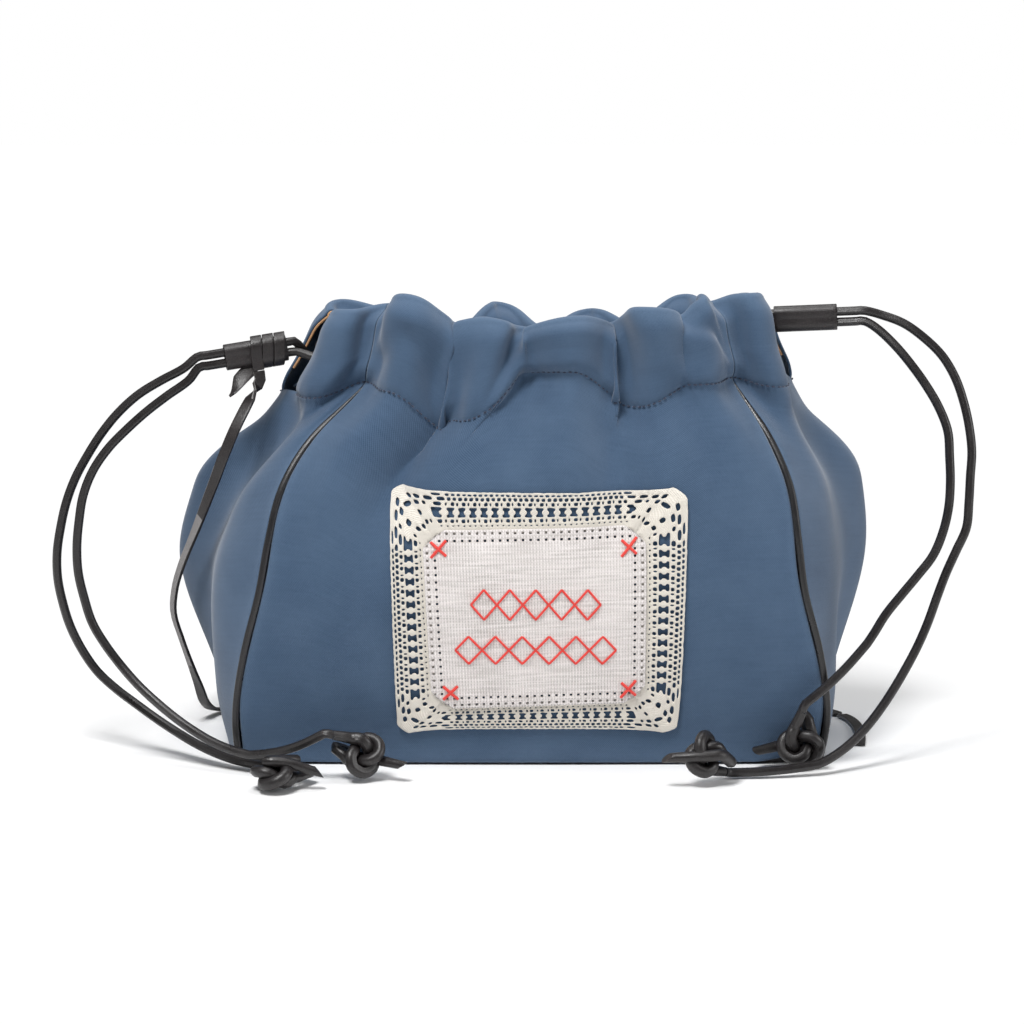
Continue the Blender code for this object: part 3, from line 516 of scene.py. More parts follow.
def casing(panel, s, share, side, off=0.0):
    """A point of the casing's outer layer (side 1) or inner layer (side -1)."""
    height = NECK + share * CASING
    room = max(0.0, side * fold(panel, s) * (CORD_SWING - 1)) + CHANNEL - HEM_LAP
    spread = min(1.0, share / CHANNEL_FROM, (1 - share) / (1 - CHANNEL_TO))
    spread = math.sin(math.pi / 2 * max(0.0, spread))
    lap = HEM_LAP + (RIM_BEND - HEM_LAP) * max(0.0, (share - 0.5) / 0.5)
    plan = off_mean(panel, s, height, 1, side * lap + off)
    plan += outward(lambda p, t: outline(p, t, height), panel, s) * side * room * spread
    return Vector((plan.x, plan.y, level(panel, s, share)))


def rim(panel, s, turn, off=0.0):
    """A point of the fold at the top edge; turn runs from 0 outside to pi inside."""
    plan = off_mean(panel, s, NECK + CASING, 1, RIM_BEND * math.cos(turn) + off)
    return Vector((plan.x, plan.y, top(panel, s) - RIM_BEND * (1 - math.sin(turn))))


def channel(panel, s, rise):
    """A point of a cord in the casing, rise above or below the channel's middle."""
    reach = 8 * MM / SHARE_OF_WIDTH[panel]
    near = [beside(panel, s + reach * k / 2) for k in (-2, -1, 0, 1, 2)]
    z = sum(level(p, t, CHANNEL_MIDDLE) for p, t in near) / 5 + rise
    low = sewn(panel, s)
    height = NECK + (z - low) / (top(panel, s) - RIM_BEND - low) * CASING
    out = outward(lambda p, t: outline(p, t, height), panel, s)
    plan = outline(panel, s, height) + out * fold(panel, s) * CORD_SWING
    return Vector((plan.x, plan.y, z))


print("front at mid height:", [round(c, 3) for c in body("front", 0.5, 0.5)])

# %% [markdown]
# ## Laying out the cloth
# Each panel starts as a flat grid, as if it were cut from the roll. Every point of the grid is then
# laid where the sewn and gathered cloth has it, row by row: up the body, up the casing's outer layer,
# over the rim and down inside. The grid's UV map is stretched to the cloth's real size, so the twill
# runs true. A Subdivision Surface rounds the folds and a Solidify gives the cloth its thickness.


# %% Grid helpers
def deselect():
    """Clear the selection, because operators act on all that is selected."""
    bpy.ops.object.select_all(action="DESELECT")


def select_only(piece):
    """Select one piece and make it the active one."""
    deselect()
    piece.select_set(True)
    bpy.context.view_layer.objects.active = piece


def apply_modifiers(piece):
    """Apply a piece's modifiers in their order."""
    select_only(piece)
    for modifier in list(piece.modifiers):
        bpy.ops.object.modifier_apply(modifier=modifier.name)


def finish_piece(piece, look, body_name="pouch", stands_for=()):
    """Give a piece its material and its body, and hide the CAD nodes that it stands for."""
    piece.data.materials.clear()
    piece.data.materials.append(look)
    if body_name:
        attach(piece, body_name)
    if stands_for:
        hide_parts(*stands_for)
    print(piece.name, len(piece.data.polygons), "faces")
    return piece


cut_sizes = {}              # flat width and length of each sheet, as measured on its grid


def declare_sheet(piece):
    wide, long = cut_sizes[piece.name]
    print(piece.name, "is cut", round(wide, 3), "by", round(long, 3), "m")


def lay_grid(name, across, along, place, holes=None, wear_and_highlight=None):
    """A grid primitive laid where place(column, row) says, with its UV map in metres."""
    deselect()
    bpy.ops.mesh.primitive_grid_add(x_subdivisions=across, y_subdivisions=along, size=2, calc_uvs=True)
    piece = bpy.context.object
    piece.name = piece.data.name = name
    spots = [(round((v.co.x + 1) / 2 * across), round((v.co.y + 1) / 2 * along)) for v in piece.data.vertices]
    laid = {spot: place(*spot) for spot in spots}
    for vertex, spot in zip(piece.data.vertices, spots):
        vertex.co = laid[spot]
    rows, columns = range(along + 1), range(across + 1)
    wide = sum((laid[c + 1, r] - laid[c, r]).length for r in rows for c in range(across)) / len(rows)
    long = sum((laid[c, r + 1] - laid[c, r]).length for c in columns for r in range(along)) / len(columns)
    cut_sizes[name] = wide, long
    for loop in piece.data.uv_layers.active.data:
        loop.uv = (loop.uv.x * wide, loop.uv.y * long)
    # A per-point attribute for the material: real wear and a painted highlight at the edges and ridges
    if wear_and_highlight:
        worn_and_lit = piece.data.attributes.new("wear_and_highlight", "FLOAT", "POINT")
        for vertex, spot in zip(piece.data.vertices, spots):
            worn_and_lit.data[vertex.index].value = wear_and_highlight(*spot)
    if holes:
        mesh = bmesh.new()
        mesh.from_mesh(piece.data)
        mesh.verts.ensure_lookup_table()
        open_faces = [f for f in mesh.faces if holes(min(spots[v.index][0] for v in f.verts),
                                                     min(spots[v.index][1] for v in f.verts))]
        bmesh.ops.delete(mesh, geom=open_faces, context="FACES")
        bmesh.ops.delete(mesh, geom=[v for v in mesh.verts if not v.link_faces], context="VERTS")
        mesh.to_mesh(piece.data)
        mesh.free()
    return piece


def sew_edges(piece):
    """Merge a grid's two meeting edges, so that a tube is closed."""
    select_only(piece)
    bpy.ops.object.mode_set(mode="EDIT")
    bpy.ops.mesh.select_all(action="SELECT")
    bpy.ops.mesh.remove_doubles(threshold=0.01 * MM)
    bpy.ops.object.mode_set(mode="OBJECT")


def thicken(piece, thickness, smooth=1):
    """Round a sheet with a Subdivision Surface and give it an even thickness."""
    if smooth:
        rounder = piece.modifiers.new("Round", "SUBSURF")
        rounder.levels = rounder.render_levels = smooth
    wall = piece.modifiers.new("Thickness", "SOLIDIFY")
    wall.thickness = thickness
    wall.offset = 0
    apply_modifiers(piece)
    piece.data.shade_smooth()


def close_ends(piece, wanted=lambda edge: True):
    """Fill the open ends whose edges are wanted, and turn all the normals out."""
    mesh = bmesh.new()
    mesh.from_mesh(piece.data)
    bmesh.ops.holes_fill(mesh, edges=[edge for edge in mesh.edges if edge.is_boundary and wanted(edge)])
    bmesh.ops.recalc_face_normals(mesh, faces=mesh.faces)
    mesh.to_mesh(piece.data)
    mesh.free()


def shade_round(piece, degrees):
    """Shade a piece smooth, but for the edges that turn by more than an angle."""
    select_only(piece)
    bpy.ops.object.shade_smooth_by_angle(angle=math.radians(degrees))


def cut_edges(piece):
    """Take the sharpness off the cut edges of a strip of leather."""
    edge = piece.modifiers.new("Cut edge", "BEVEL")
    edge.width, edge.segments, edge.limit_method = 0.25 * MM, 2, "ANGLE"
    apply_modifiers(piece)
    shade_round(piece, 40)


# %% Rows and columns of a panel
WELT = 3.2 * MM
WELT_ROOM = WELT / 2 + 0.2 * FIT
WELT_FADE = 0.86            # height share where the welt begins to sink into the seam
BODY_ROWS, OUTER_ROWS, RIM_ROWS, INNER_ROWS = 46, 20, 6, 14
INNER_REACH = 0.95          # share of the casing's height that the inner layer comes down
SLIT_CELLS = 2 / 12         # share of a gusset's columns that its slit takes


def edge_place(path, room, end):
    """The place on a row of cloth that lies at a distance from its seam; end is 0 or 1."""
    seam, inward = path(end), 1 - 2 * end
    s = 0.02
    for _ in range(6):
        s *= room / (path(end + inward * s) - seam).length
    return end + inward * s


@functools.lru_cache(maxsize=None)
def plan_width(panel, v):
    """Width of a panel along its ground plan at a height share."""
    points = [outline(panel, k / 12, v * NECK) for k in range(13)]
    return sum((b - a).length for a, b in zip(points, points[1:]))


def row_path(panel, row):
    """The path of one row of a panel, and how far its ends stay off the seam's line."""
    if row <= BODY_ROWS:
        v = row / BODY_ROWS
        closed = clamp((v - WELT_FADE) / (1 - WELT_FADE))
        return (lambda s: body(panel, s, v)), WELT_ROOM + (SEAM_LAP - WELT_ROOM) * closed, v
    row -= BODY_ROWS
    if row <= OUTER_ROWS:
        share = row / OUTER_ROWS
        return (lambda s: casing(panel, s, share, 1)), SEAM_LAP, 1
    row -= OUTER_ROWS
    if row < RIM_ROWS:
        return (lambda s: rim(panel, s, math.pi * row / RIM_ROWS)), SEAM_LAP, 1
    share = 1 - (row - RIM_ROWS) / INNER_ROWS * INNER_REACH
    return (lambda s: casing(panel, s, share, -1)), SEAM_LAP, 1


def column_place(panel, u, low, high, v):
    """The place of a column on a row; a gusset keeps even columns beside its slit."""
    if panel in ("front", "back"):
        return low + (high - low) * u
    half, edge = SLIT / 2 / plan_width(panel, v), (1 - SLIT_CELLS) / 2
    if u < edge:
        return low + (0.5 - half - low) * u / edge
    if u > 1 - edge:
        return 0.5 + half + (high - 0.5 - half) * (u - 1 + edge) / edge
    return 0.5 + half * (u - 0.5) * 2 / SLIT_CELLS


FOOT, FOOT_CORNER = 1.3 * MM, 5 * MM

# %% [markdown]
# ## Creases
# A gathered neck is never even. Apart from the big folds, small ridges and valleys run from the
# stitches into the cloth. Each is one line here: its panel, where it starts and ends, its width and
# its height. A point of the cloth near such a line is pushed out or in by a smooth bump.

# %% Creases: panel, path of (across, up), half widths to the left and right, heights at both ends, in mm
# Up runs from 0 at the base to 1 at the stitches and 1.25 at the top edge
CREASES = (
    ("front", ((0.04, 1.14), (0.08, 1.22), (0.13, 1.21)), 6, 6, 7.5, 6.0),
    ("front", ((0.09, 1.1), (0.06, 1.01)), 5, 5, 3.0, 3.0),
    ("front", ((0.165, 1.22), (0.185, 1.03)), 3, 3, 5.0, 2.0),
    ("front", ((0.255, 1.25), (0.235, 1.12), (0.2, 1.0)), 2.2, 4, 7.0, 3.0),
    ("front", ((0.345, 1.25), (0.3, 1.05)), 5, 4, 5.0, 3.0),
    ("front", ((0.44, 1.25), (0.4, 1.13), (0.34, 1.02)), 2.0, 15, 6.5, 4.0),
    ("front", ((0.655, 1.25), (0.665, 1.12), (0.685, 1.0)), 16, 1.6, 7.0, 5.0),
    ("front", ((0.77, 1.25), (0.8, 1.12), (0.86, 1.02)), 5, 11, 7.5, 4.0),
    ("front", ((0.85, 1.25), (0.93, 1.12), (0.965, 1.05)), 9, 1.8, 5.5, 3.0),
    ("front", ((0.925, 1.25), (0.96, 1.14)), 2.0, 1.6, 4.0, 2.0),
    ("front", ((0.49, 0.97), (0.52, 0.86)), 17, 17, -3.5, -1.5),
    ("front", ((0.67, 0.985), (0.75, 0.8), (0.78, 0.68)), 8, 10, 4.0, 0.8),
    ("front", ((0.65, 0.97), (0.6, 0.8)), 8, 6, 2.2, 0.5),
    ("front", ((0.2, 0.975), (0.27, 0.955), (0.36, 0.99)), 6, 6, 3.0, 2.5),
    ("front", ((0.24, 0.94), (0.36, 0.72)), 9, 9, 2.4, 0.5),
    ("front", ((0.18, 0.98), (0.11, 0.84), (0.08, 0.66)), 9, 8, 3.4, 0.6),
    ("front", ((0.9, 0.98), (0.96, 0.72)), 8, 5, 2.0, 0.5),
    ("back", ((0.25, 0.99), (0.18, 0.66)), 8, 8, 2.4, 0.3),
    ("back", ((0.52, 0.99), (0.47, 0.68)), 8, 8, 2.4, 0.3),
    ("back", ((0.78, 0.99), (0.84, 0.66)), 8, 8, 2.4, 0.3),
    ("back", ((0.1, 1.25), (0.13, 1.02)), 8, 3, 4.0, 2.0),
    ("back", ((0.38, 1.25), (0.36, 1.02)), 2, 11, 4.0, 2.0),
    ("back", ((0.66, 1.25), (0.63, 1.02)), 12, 2, 4.0, 2.0),
    ("back", ((0.9, 1.25), (0.92, 1.02)), 7, 7, 3.0, 2.0),
    ("left", ((0.8, 1.25), (0.84, 1.1), (0.78, 1.0)), 8, 3, 6.5, 4.5),
    ("left", ((0.66, 0.93), (0.56, 0.78)), 9, 9, -5.0, -2.0),
    ("left", ((0.93, 0.95), (0.8, 0.84), (0.72, 0.7)), 7, 9, 3.5, 1.0),
    ("left", ((0.25, 1.22), (0.3, 0.98)), 6, 6, 3.0, 1.5),
    ("right", ((0.22, 1.25), (0.2, 1.1), (0.24, 1.0)), 3, 9, 6.5, 4.5),
    ("right", ((0.3, 0.96), (0.4, 0.7)), 9, 9, 3.0, 1.0),
    ("right", ((0.12, 0.95), (0.16, 0.75)), 6, 6, -3.0, -1.0),
    ("right", ((0.75, 1.22), (0.7, 0.98)), 6, 6, 3.0, 1.5),
)
FLAT_WIDTH = {"front": (165, 250), "back": (165, 250), "left": (60, 110), "right": (60, 110)}
FLAT_HEIGHT, CREASE_END = 160, 9
DEEPEST = -0.9 * MM         # a valley of the casing stops at the cords inside it
SEAM_REST = 12              # creases and puckers fade over the last twelfth of a row, next to a seam


def flat_spot(panel, s, v):
    """A place of a panel in millimetres on the cloth."""
    neck, low = FLAT_WIDTH[panel]
    wide = neck + (low - neck) * clamp((1 - v) / 0.5)
    return Vector(((s - 0.5) * wide, v * FLAT_HEIGHT))


FLAT_CREASES = {panel: [([flat_spot(panel, *spot) for spot in path], *rest)
                        for name, path, *rest in CREASES if name == panel] for panel in ORDER}


def crease(panel, s, v):
    """How far the hand-set creases push the cloth out at a place, in metres."""
    total, at = 0.0, flat_spot(panel, s, v)
    for path, left, right, first, last in FLAT_CREASES[panel]:
        nearest = None
        for k, (a, b) in enumerate(zip(path, path[1:])):
            run = b - a
            share = clamp((at - a).dot(run) / run.dot(run))
            gap = at - a - run * share
            if nearest is None or gap.length < nearest[0].length:
                nearest = gap, (k + share) / (len(path) - 1)
        gap, share = nearest
        half = (left if gap.x < 0 else right) * (1 + 0.4 * share)
        away = gap.length / half
        if share in (0, 1):
            run = (path[1] - path[0] if share == 0 else path[-1] - path[-2]).normalized()
            beyond = gap.dot(run)
            away = math.hypot((gap - run * beyond).length / half, beyond / CREASE_END)
        total += (first + (last - first) * share) * math.exp(-away * away)
    total *= MM * min(1.0, SEAM_REST * min(s, 1 - s))
    return total if v <= 1 else max(total, DEEPEST)


def pucker(panel, s, v):
    """The small even waves that a gathered stitch line leaves in the cloth next to it."""
    wave = math.sin(s * FLAT_WIDTH[panel][0] * 1.3 + 3 * math.sin(s * 17)) * math.exp(-((v - 1) * 22) ** 2)
    return 0.25 * MM * wave * min(1.0, SEAM_REST * min(s, 1 - s))


# %% The four panels
def relief_path(panel, row):
    """A row's path with the creases and puckers added to the plain cloth."""
    if row <= BODY_ROWS:
        v = row / BODY_ROWS
        return lambda s: body(panel, s, v, crease(panel, s, v) + pucker(panel, s, v))
    share = (row - BODY_ROWS) / OUTER_ROWS
    v = 1 + min(1.0, share) * CASING / NECK
    if share <= 1:
        return lambda s: casing(panel, s, share, 1, crease(panel, s, v) + pucker(panel, s, v))
    row -= BODY_ROWS + OUTER_ROWS
    if row < RIM_ROWS:
        return lambda s: rim(panel, s, math.pi * row / RIM_ROWS, crease(panel, s, v))
    share = 1 - (row - RIM_ROWS) / INNER_ROWS * INNER_REACH
    v = 1 + share * CASING / NECK
    return lambda s: casing(panel, s, share, -1, crease(panel, s, v) * max(0.0, 2 * share - 1))


ACROSS = {"front": 120, "back": 78, "left": 48, "right": 48}
PANEL_NAMES = {"front": "front_panel", "back": "back_panel", "left": "left_gusset", "right": "right_gusset"}


def make_panel(panel):
    """Lay, thicken and dress one panel of the bag."""
    across = ACROSS[panel]
    total = BODY_ROWS + OUTER_ROWS + RIM_ROWS + INNER_ROWS
    ends = {}
    for row in range(total + 1):
        path, room, v = row_path(panel, row)
        ends[row] = edge_place(path, room, 0), edge_place(path, room, 1), v

    def place(column, row):
        low, high, v = ends[row]
        s = column_place(panel, column / across, low, high, v)
        point = relief_path(panel, row)(s)
        if row == 0:
            lap = clamp(14 * (min(s, 1 - s) - 0.03))
            point.z = FOOT + (FOOT_CORNER - FOOT) * (1 - lap)
            if panel in ("left", "right"):
                point.z = CLOTH / 2 + FIT
        return point

    # Lighter cloth at the rim fold, the side seams and the foot: partly real wear, partly a painted highlight
    # on these edges and ridges
    def wear_and_highlight(column, row):
        rubbed_and_lit = math.exp(-((row - BODY_ROWS - OUTER_ROWS - 2) / 3) ** 2)
        seam = min(column, across - column)
        return min(1.0, rubbed_and_lit + 0.6 * math.exp(-(seam / 1.5) ** 2) + 0.4 * math.exp(-((row - 1) / 1.5) ** 2))

    def slit(column, row):
        middle, half = across / 2, across * SLIT_CELLS / 2
        return panel in ("left", "right") and row >= BODY_ROWS and middle - half <= column < middle + half

    name = PANEL_NAMES[panel]
    piece = lay_grid(f"{name}_cloth", across, total, place, slit, wear_and_highlight)
    thicken(piece, CLOTH)
    finish_piece(piece, twill, stands_for=(name,))
    declare_sheet(piece)
    return piece


cloths = {panel: make_panel(panel) for panel in ORDER}

# %% [markdown]
# ## Round leather cords
# Each drawcord is a strip of soft leather rolled round a core and stitched along one side, so it has
# a slightly raised seam. It is a grid again: its columns go round the cord and its rows follow the
# cord's route. The route is a smooth curve through a few points where the real cord passes, and the
# seam keeps its place because each ring is turned as little as possible from the one before it.

# %% Sliders and routes, as in the frame
CORD, PAIR = 4 * MM, 4.7 * MM
SLIDER_LENGTH, SLIDER_WALL, SLIDER_EASE, SLIDER_LEAD = 28 * MM, 1.1 * MM, 0.4 * MM, 3.6 * MM
STRAIGHT, KNOT_LEAD = 12 * MM, 4 * MM
CORD_STACK, EXIT_AT = 5.8 * MM, 0.12
STRAP_WIDTH, STRAP = 5 * MM, 1.4 * MM
ROUTES = {
    "left_upper": ((-153, -15, 170), (-167, -17, 163), (-181, -20, 151), (-192, -22, 136),
                   (-201, -24, 119), (-206, -25, 101), (-208, -25, 86), (-207, -24, 72), (-202, -22, 53),
                   (-191, -23, 35), (-174, -28, 22), (-158, -36, 13), (-144, -46, 7.5),
                   (-130, -56, 4.2), (-116, -63, 2.6), (-105, -69, 2.4), (-100, -77, 3)),
    "left_lower": ((-149, -16, 166), (-162, -21, 157), (-175, -25, 146), (-187, -28, 133),
                   (-194, -30, 119), (-197, -31, 103), (-198, -31, 87), (-196, -31, 74),
                   (-191, -32, 58), (-178, -36, 40), (-166, -42, 29), (-149, -52, 18),
                   (-132, -62, 11), (-115, -70, 8.4), (-99, -75, 9.4)),
    "right_upper": ((155, -6, 195.5), (165, -8, 193), (175, -11, 187), (185, -14, 178), (192, -18, 166),
                    (196, -22, 152), (198, -26, 138), (197, -30, 123), (195, -34, 101), (189, -37, 90),
                    (183, -41, 76), (176, -45, 58), (168, -49, 43), (158, -54, 28), (148, -60, 17),
                    (137, -66, 9), (124, -72, 4), (108, -76, 2.4), (96, -79, 2.6)),
    "right_lower": ((160, -10, 186.5), (168, -14.5, 178), (175, -18, 169),
                    (182, -22, 158), (187, -26, 146), (188, -29, 132), (188, -32, 117),
                    (186, -34, 105), (181, -37, 92), (168, -43, 77), (158, -46, 65), (150, -50, 53),
                    (141, -54, 43), (134, -57, 34)),
}
# Place of each knot's middle, the axis of its ring, the way to its cord and the way of its tail
KNOTS = {
    "left_upper": ((-106, -95, 7.2), (0, 0.15, -1), (0.3, 1, 0), (1, 0.05, -0.1)),
    "left_lower": ((-70, -79, 12.2), (0.1, -0.9, 0.4), (-0.88, 0, -0.48), (1, -0.3, -0.2)),
    "right_upper": ((78, -86, 13), (-0.6, 0.8, -0.2), (1, 0.5, 0.15), (-1, -0.2, 0)),
    "right_lower": ((121, -61, 12), (0.05, -1, 0.1), (0.7, 0, 0.75), (-1, 0, -0.2)),
}
STRAP_ROUTE = ((-129, -24, 143), (-138, -19, 121), (-148, -8, 97), (-157, 4, 76),
               (-161, 10, 58), (-157, 14, 40), (-152, 20, 22), (-149, 30, 8),
               (-144, 44, 1.8), (-131, 58, 1.2), (-110, 65, 1.2), (-70, 68, 1.2), (-20, 69, 1.2),
               (40, 69, 1.2), (100, 66, 1.2), (134, 54, 1.2), (152, 32, 1.2), (155, 5, 1.2),
               (152, -20, 1.2))


def slider_frame(inner, outer):
    """A slider's middle, its outward direction and the direction from strand to strand."""
    inner, outer = Vector(inner) * MM, Vector(outer) * MM
    along = (outer - inner).normalized()
    up = (Vector((0, 0, 1)) - along * along.z).normalized()
    return (inner + outer) / 2, along, up


SLIDERS = {
    "left": slider_frame((-104, -4, 180), (-135, -11, 175.5)),
    "right": slider_frame((112, -1, 192), (140, -5, 193.5)),
}


# %% Smooth routes
def path_length(points):
    """The length of a line of points."""
    return sum((b - a).length for a, b in zip(points, points[1:]))


def smooth_route(stops, step):
    """Evenly spaced points of a smooth curve through a route's own points."""
    places = [0.0]
    for a, b in zip(stops, stops[1:]):
        places.append(places[-1] + (b - a).length)
    fine = [Vector(spline([p[k] for p in stops], places, places[-1] * i / 1200) for k in range(3))
            for i in range(1201)]
    run = [0.0]
    for a, b in zip(fine, fine[1:]):
        run.append(run[-1] + (b - a).length)
    count = max(2, round(run[-1] / step))
    made, at = [], 0
    for k in range(count + 1):
        while at < 1200 and run[at] < run[-1] * k / count:
            at += 1
        made.append(fine[at])
    return made


def relax(points, count):
    """Let the last points of a line settle into a soft bend, with the very end held in its direction."""
    points = list(points)
    for _ in range(120):
        for k in range(len(points) - count, len(points) - 3):
            points[k] = points[k] / 2 + (points[k - 1] + points[k + 1]) / 4
    return points


def led_route(lead, stops, step):
    """Straight leads as they are, and between or after them a smooth curve through the stops."""
    start = lead[0]
    end = lead[1] if len(lead) > 1 else []
    fine = smooth_route(start[-2:] + stops + end[:2], step)
    for straight in (start[-2:], end[1::-1]):
        if straight:
            reach = (straight[1] - straight[0]).length + step / 3
            fine = [p for p in fine if (p - straight[0]).length > reach]
    return start + fine + end


# %% Tubes and bands
def ring_frames(points, first_normal):
    """A normal and a side at each point of a line, turned as little as possible from one to the next."""
    frames, normal = [], Vector(first_normal)
    for k, point in enumerate(points):
        ahead = (points[min(k + 1, len(points) - 1)] - points[max(k - 1, 0)]).normalized()
        normal = (normal - ahead * normal.dot(ahead)).normalized()
        frames.append((normal, ahead.cross(normal)))
    return frames


SEAM_RIDGE, SEAM_GROOVE = 0.10, 0.10
GROUND = 0.05 * MM          # leather that lies on the table is pressed flat there


def cord_profile(angle):
    """Radius of the rolled leather at an angle, as a share of its radius: a ridge beside a groove."""
    away = (angle + math.pi) % math.tau - math.pi
    ridge = SEAM_RIDGE * math.exp(-((away - 0.30) / 0.28) ** 2)
    groove = SEAM_GROOVE * math.exp(-((away + 0.06) / 0.13) ** 2)
    return 1 + ridge - groove


def wrapped_tube(name, points, diameter, first_normal, sides=20, profile=cord_profile, flat=1.0, slant=0.0,
                 swell=lambda row: 1.0):
    """A closed tube laid round a line.

    flat squeezes it, slant cuts its end askew, and swell sets its size row by row.
    """
    frames = ring_frames(points, first_normal)
    end_way = (points[-1] - points[-2]).normalized()

    def place(column, row):
        angle = math.tau * (column % sides) / sides
        normal, side = frames[row]
        radius = diameter / 2 * profile(angle) * swell(row)
        cut = slant * math.cos(angle) if row > len(points) - 3 else 0.0
        way = normal * math.cos(angle) * flat + side * math.sin(angle)
        spot = points[row] + end_way * cut + way * radius
        return Vector((spot.x, spot.y, max(spot.z, GROUND)))

    piece = lay_grid(name, sides, len(points) - 1, place)
    sew_edges(piece)
    close_ends(piece)
    shade_round(piece, 50)
    return piece


# %% Cords inside the casing
def run_places(own):
    """Panels and places that a cord passes in its channel, from one side of its slit to the other."""
    start = ORDER.index(own)
    steps = [(own, 0.5 + EXIT_AT + 0.11 * k) for k in range(4)]
    for turn in (1, 2, 3):
        panel = ORDER[(start + turn) % 4]
        count = 20 if panel in ("front", "back") else 9
        steps += [(panel, (k + 0.5) / count) for k in range(count)]
    steps += [(own, 0.5 - EXIT_AT - 0.11 * k) for k in (3, 2, 1, 0)]
    return steps


for side, rise in (("left", -CORD_STACK / 2), ("right", CORD_STACK / 2)):
    middle, along, up = SLIDERS[side]
    lead = [middle - along * d for d in (0, SLIDER_LENGTH / 2, SLIDER_LENGTH / 2 + SLIDER_LEAD)]
    out, back = [p - up * PAIR / 2 for p in lead], [p + up * PAIR / 2 for p in reversed(lead)]
    stops = [channel(panel, s, rise) for panel, s in run_places(side)]
    line = smooth_route(led_route((out, back), stops, 8.5 * MM), 3 * MM)
    name = f"{side}_cord_in_casing"
    finish_piece(wrapped_tube(f"{name}_leather", line, CORD * 0.98, (0, -1, 0.4), sides=14), cord_leather,
                 stands_for=(name,))


# %% [markdown]
# ## Overhand knots
# Each free end is closed by an overhand knot. Its middle line is a trefoil, the shape that a loop
# makes when its end is passed through it once. The leather is squeezed flatter where the knot is
# drawn tight, and the short tail is cut off at a slant.

# %% Knots and free strands
KNOT_RING, KNOT_WIND = 5.9 * MM, 2.5 * MM
KNOT_CORD = CORD * 1.36     # the leather bulges where it is drawn tight
KNOT_ENDS = 0.76            # and is as thin as the cord again at both ends
TAIL_STOPS = ((-3, 5.6), (3, 5.9), (9, 5.0), (14, 3.6), (19, 2.6))     # along the tail, behind the knot


def knot_points(ring=KNOT_RING, wind=KNOT_WIND, count=20):
    """The middle line of an overhand knot: the end from the cord first, the tail last."""
    def wound(turn):
        reach = ring + wind * math.cos(3 * turn)
        return Vector((reach * math.cos(2 * turn), reach * math.sin(2 * turn), wind * math.sin(3 * turn)))

    first, last = 0.25, 2 * math.pi - 0.25
    round_points = [wound(first + (last - first) * k / (count - 1)) for k in range(count)]
    lead = (round_points[0] - round_points[1]).normalized()
    trail = (round_points[-1] - round_points[-2]).normalized()
    lead.z, trail.z = 0.12, -0.12
    entry = [round_points[0] + lead * d * MM + Vector((0, 0, 0.5 * MM)) for d in (8, 5, 2.5)]
    tail = [round_points[-1] + trail * d * MM - Vector((0, 0, 0.5 * MM)) for d in (2.5, 5)]
    return entry + round_points + tail


for name, (place, axis, way, tail_way) in KNOTS.items():
    side, which = name.split("_")
    axis, way = Vector(axis).normalized(), Vector(way)
    way = (way - axis * way.dot(axis)).normalized()
    hand, entry_turn = (-1, math.radians(52)) if name == "left_lower" else (1, math.radians(38))
    first = Matrix.Rotation(entry_turn * hand, 3, axis) @ way
    turned = Matrix((first, axis.cross(first) * hand, axis)).transposed().to_4x4()
    seat = Matrix.Translation(Vector(place) * MM) @ turned
    plain_line = [seat @ p for p in knot_points()]
    entry, lead = plain_line[0], (plain_line[0] - plain_line[1]).normalized()
    middle, tail_way = Vector(place) * MM, Vector(tail_way).normalized()
    line = plain_line + [middle + tail_way * far * MM - axis * back * MM for far, back in TAIL_STOPS]
    line = smooth_route(line, 1.2 * MM)
    last = len(line) - 1
    knot = wrapped_tube(f"{name}_knot_leather", line, KNOT_CORD, axis, sides=18, flat=0.9, slant=2.4 * MM,
                        swell=lambda row: KNOT_ENDS + (1 - KNOT_ENDS) * min(1.0, row / 8, (last - row) / 14))
    finish_piece(knot, cord_leather, stands_for=(f"{name}_knot",))
    middle, along, up = SLIDERS[side]
    strand_start = middle + up * PAIR / 2 * (1 if which == "upper" else -1)
    start = [strand_start + along * FIT]
    start += [strand_start + along * (SLIDER_LENGTH / 2 + STRAIGHT * k / 3) for k in range(4)]
    stops = [Vector(p) * MM for p in ROUTES[name]] + [entry + lead * KNOT_LEAD]
    line = relax(smooth_route(led_route((start,), stops, 11.5 * MM) + [entry + lead * FIT], 2 * MM), 22)
    strand = wrapped_tube(f"{name}_strand_leather", line, CORD, (0, -1, 0.3))
    finish_piece(strand, cord_leather, stands_for=(f"{name}_strand",))
    length = path_length(line)
    print(name, "strand", round(length, 4), "m")
    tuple(start[0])

# %% [markdown]
# ## Sliders and the strap
# A slider is a short strip of leather closed round both strands of a cord. A flat strap is tied twice
# round the left one and hangs down behind the bag. Both are thin strips with cut edges, laid as a
# grid and thickened. The strap's grey suede side shows where it twists.

# %% Oval round two strands
SLIDER_RADIUS = CORD / 2 + SLIDER_EASE + SLIDER_WALL / 2


def stadium(share, radius):
    """A point and the outward direction of the oval round two strands, share from 0 to 1."""
    straight, turn = PAIR, math.pi * radius
    at = (share % 1) * 2 * (straight + turn)
    if at < straight / 2:
        return Vector((radius, at)), Vector((1, 0))
    if at < straight / 2 + turn:
        angle = (at - straight / 2) / radius
        way = Vector((math.cos(angle), math.sin(angle)))
        return way * radius + Vector((0, straight / 2)), way
    if at < 1.5 * straight + turn:
        return Vector((-radius, straight + turn - at)), Vector((-1, 0))
    if at < 1.5 * straight + 2 * turn:
        angle = math.pi + (at - 1.5 * straight - turn) / radius
        way = Vector((math.cos(angle), math.sin(angle)))
        return way * radius - Vector((0, straight / 2)), way
    return Vector((radius, at - 2 * (straight + turn))), Vector((1, 0))


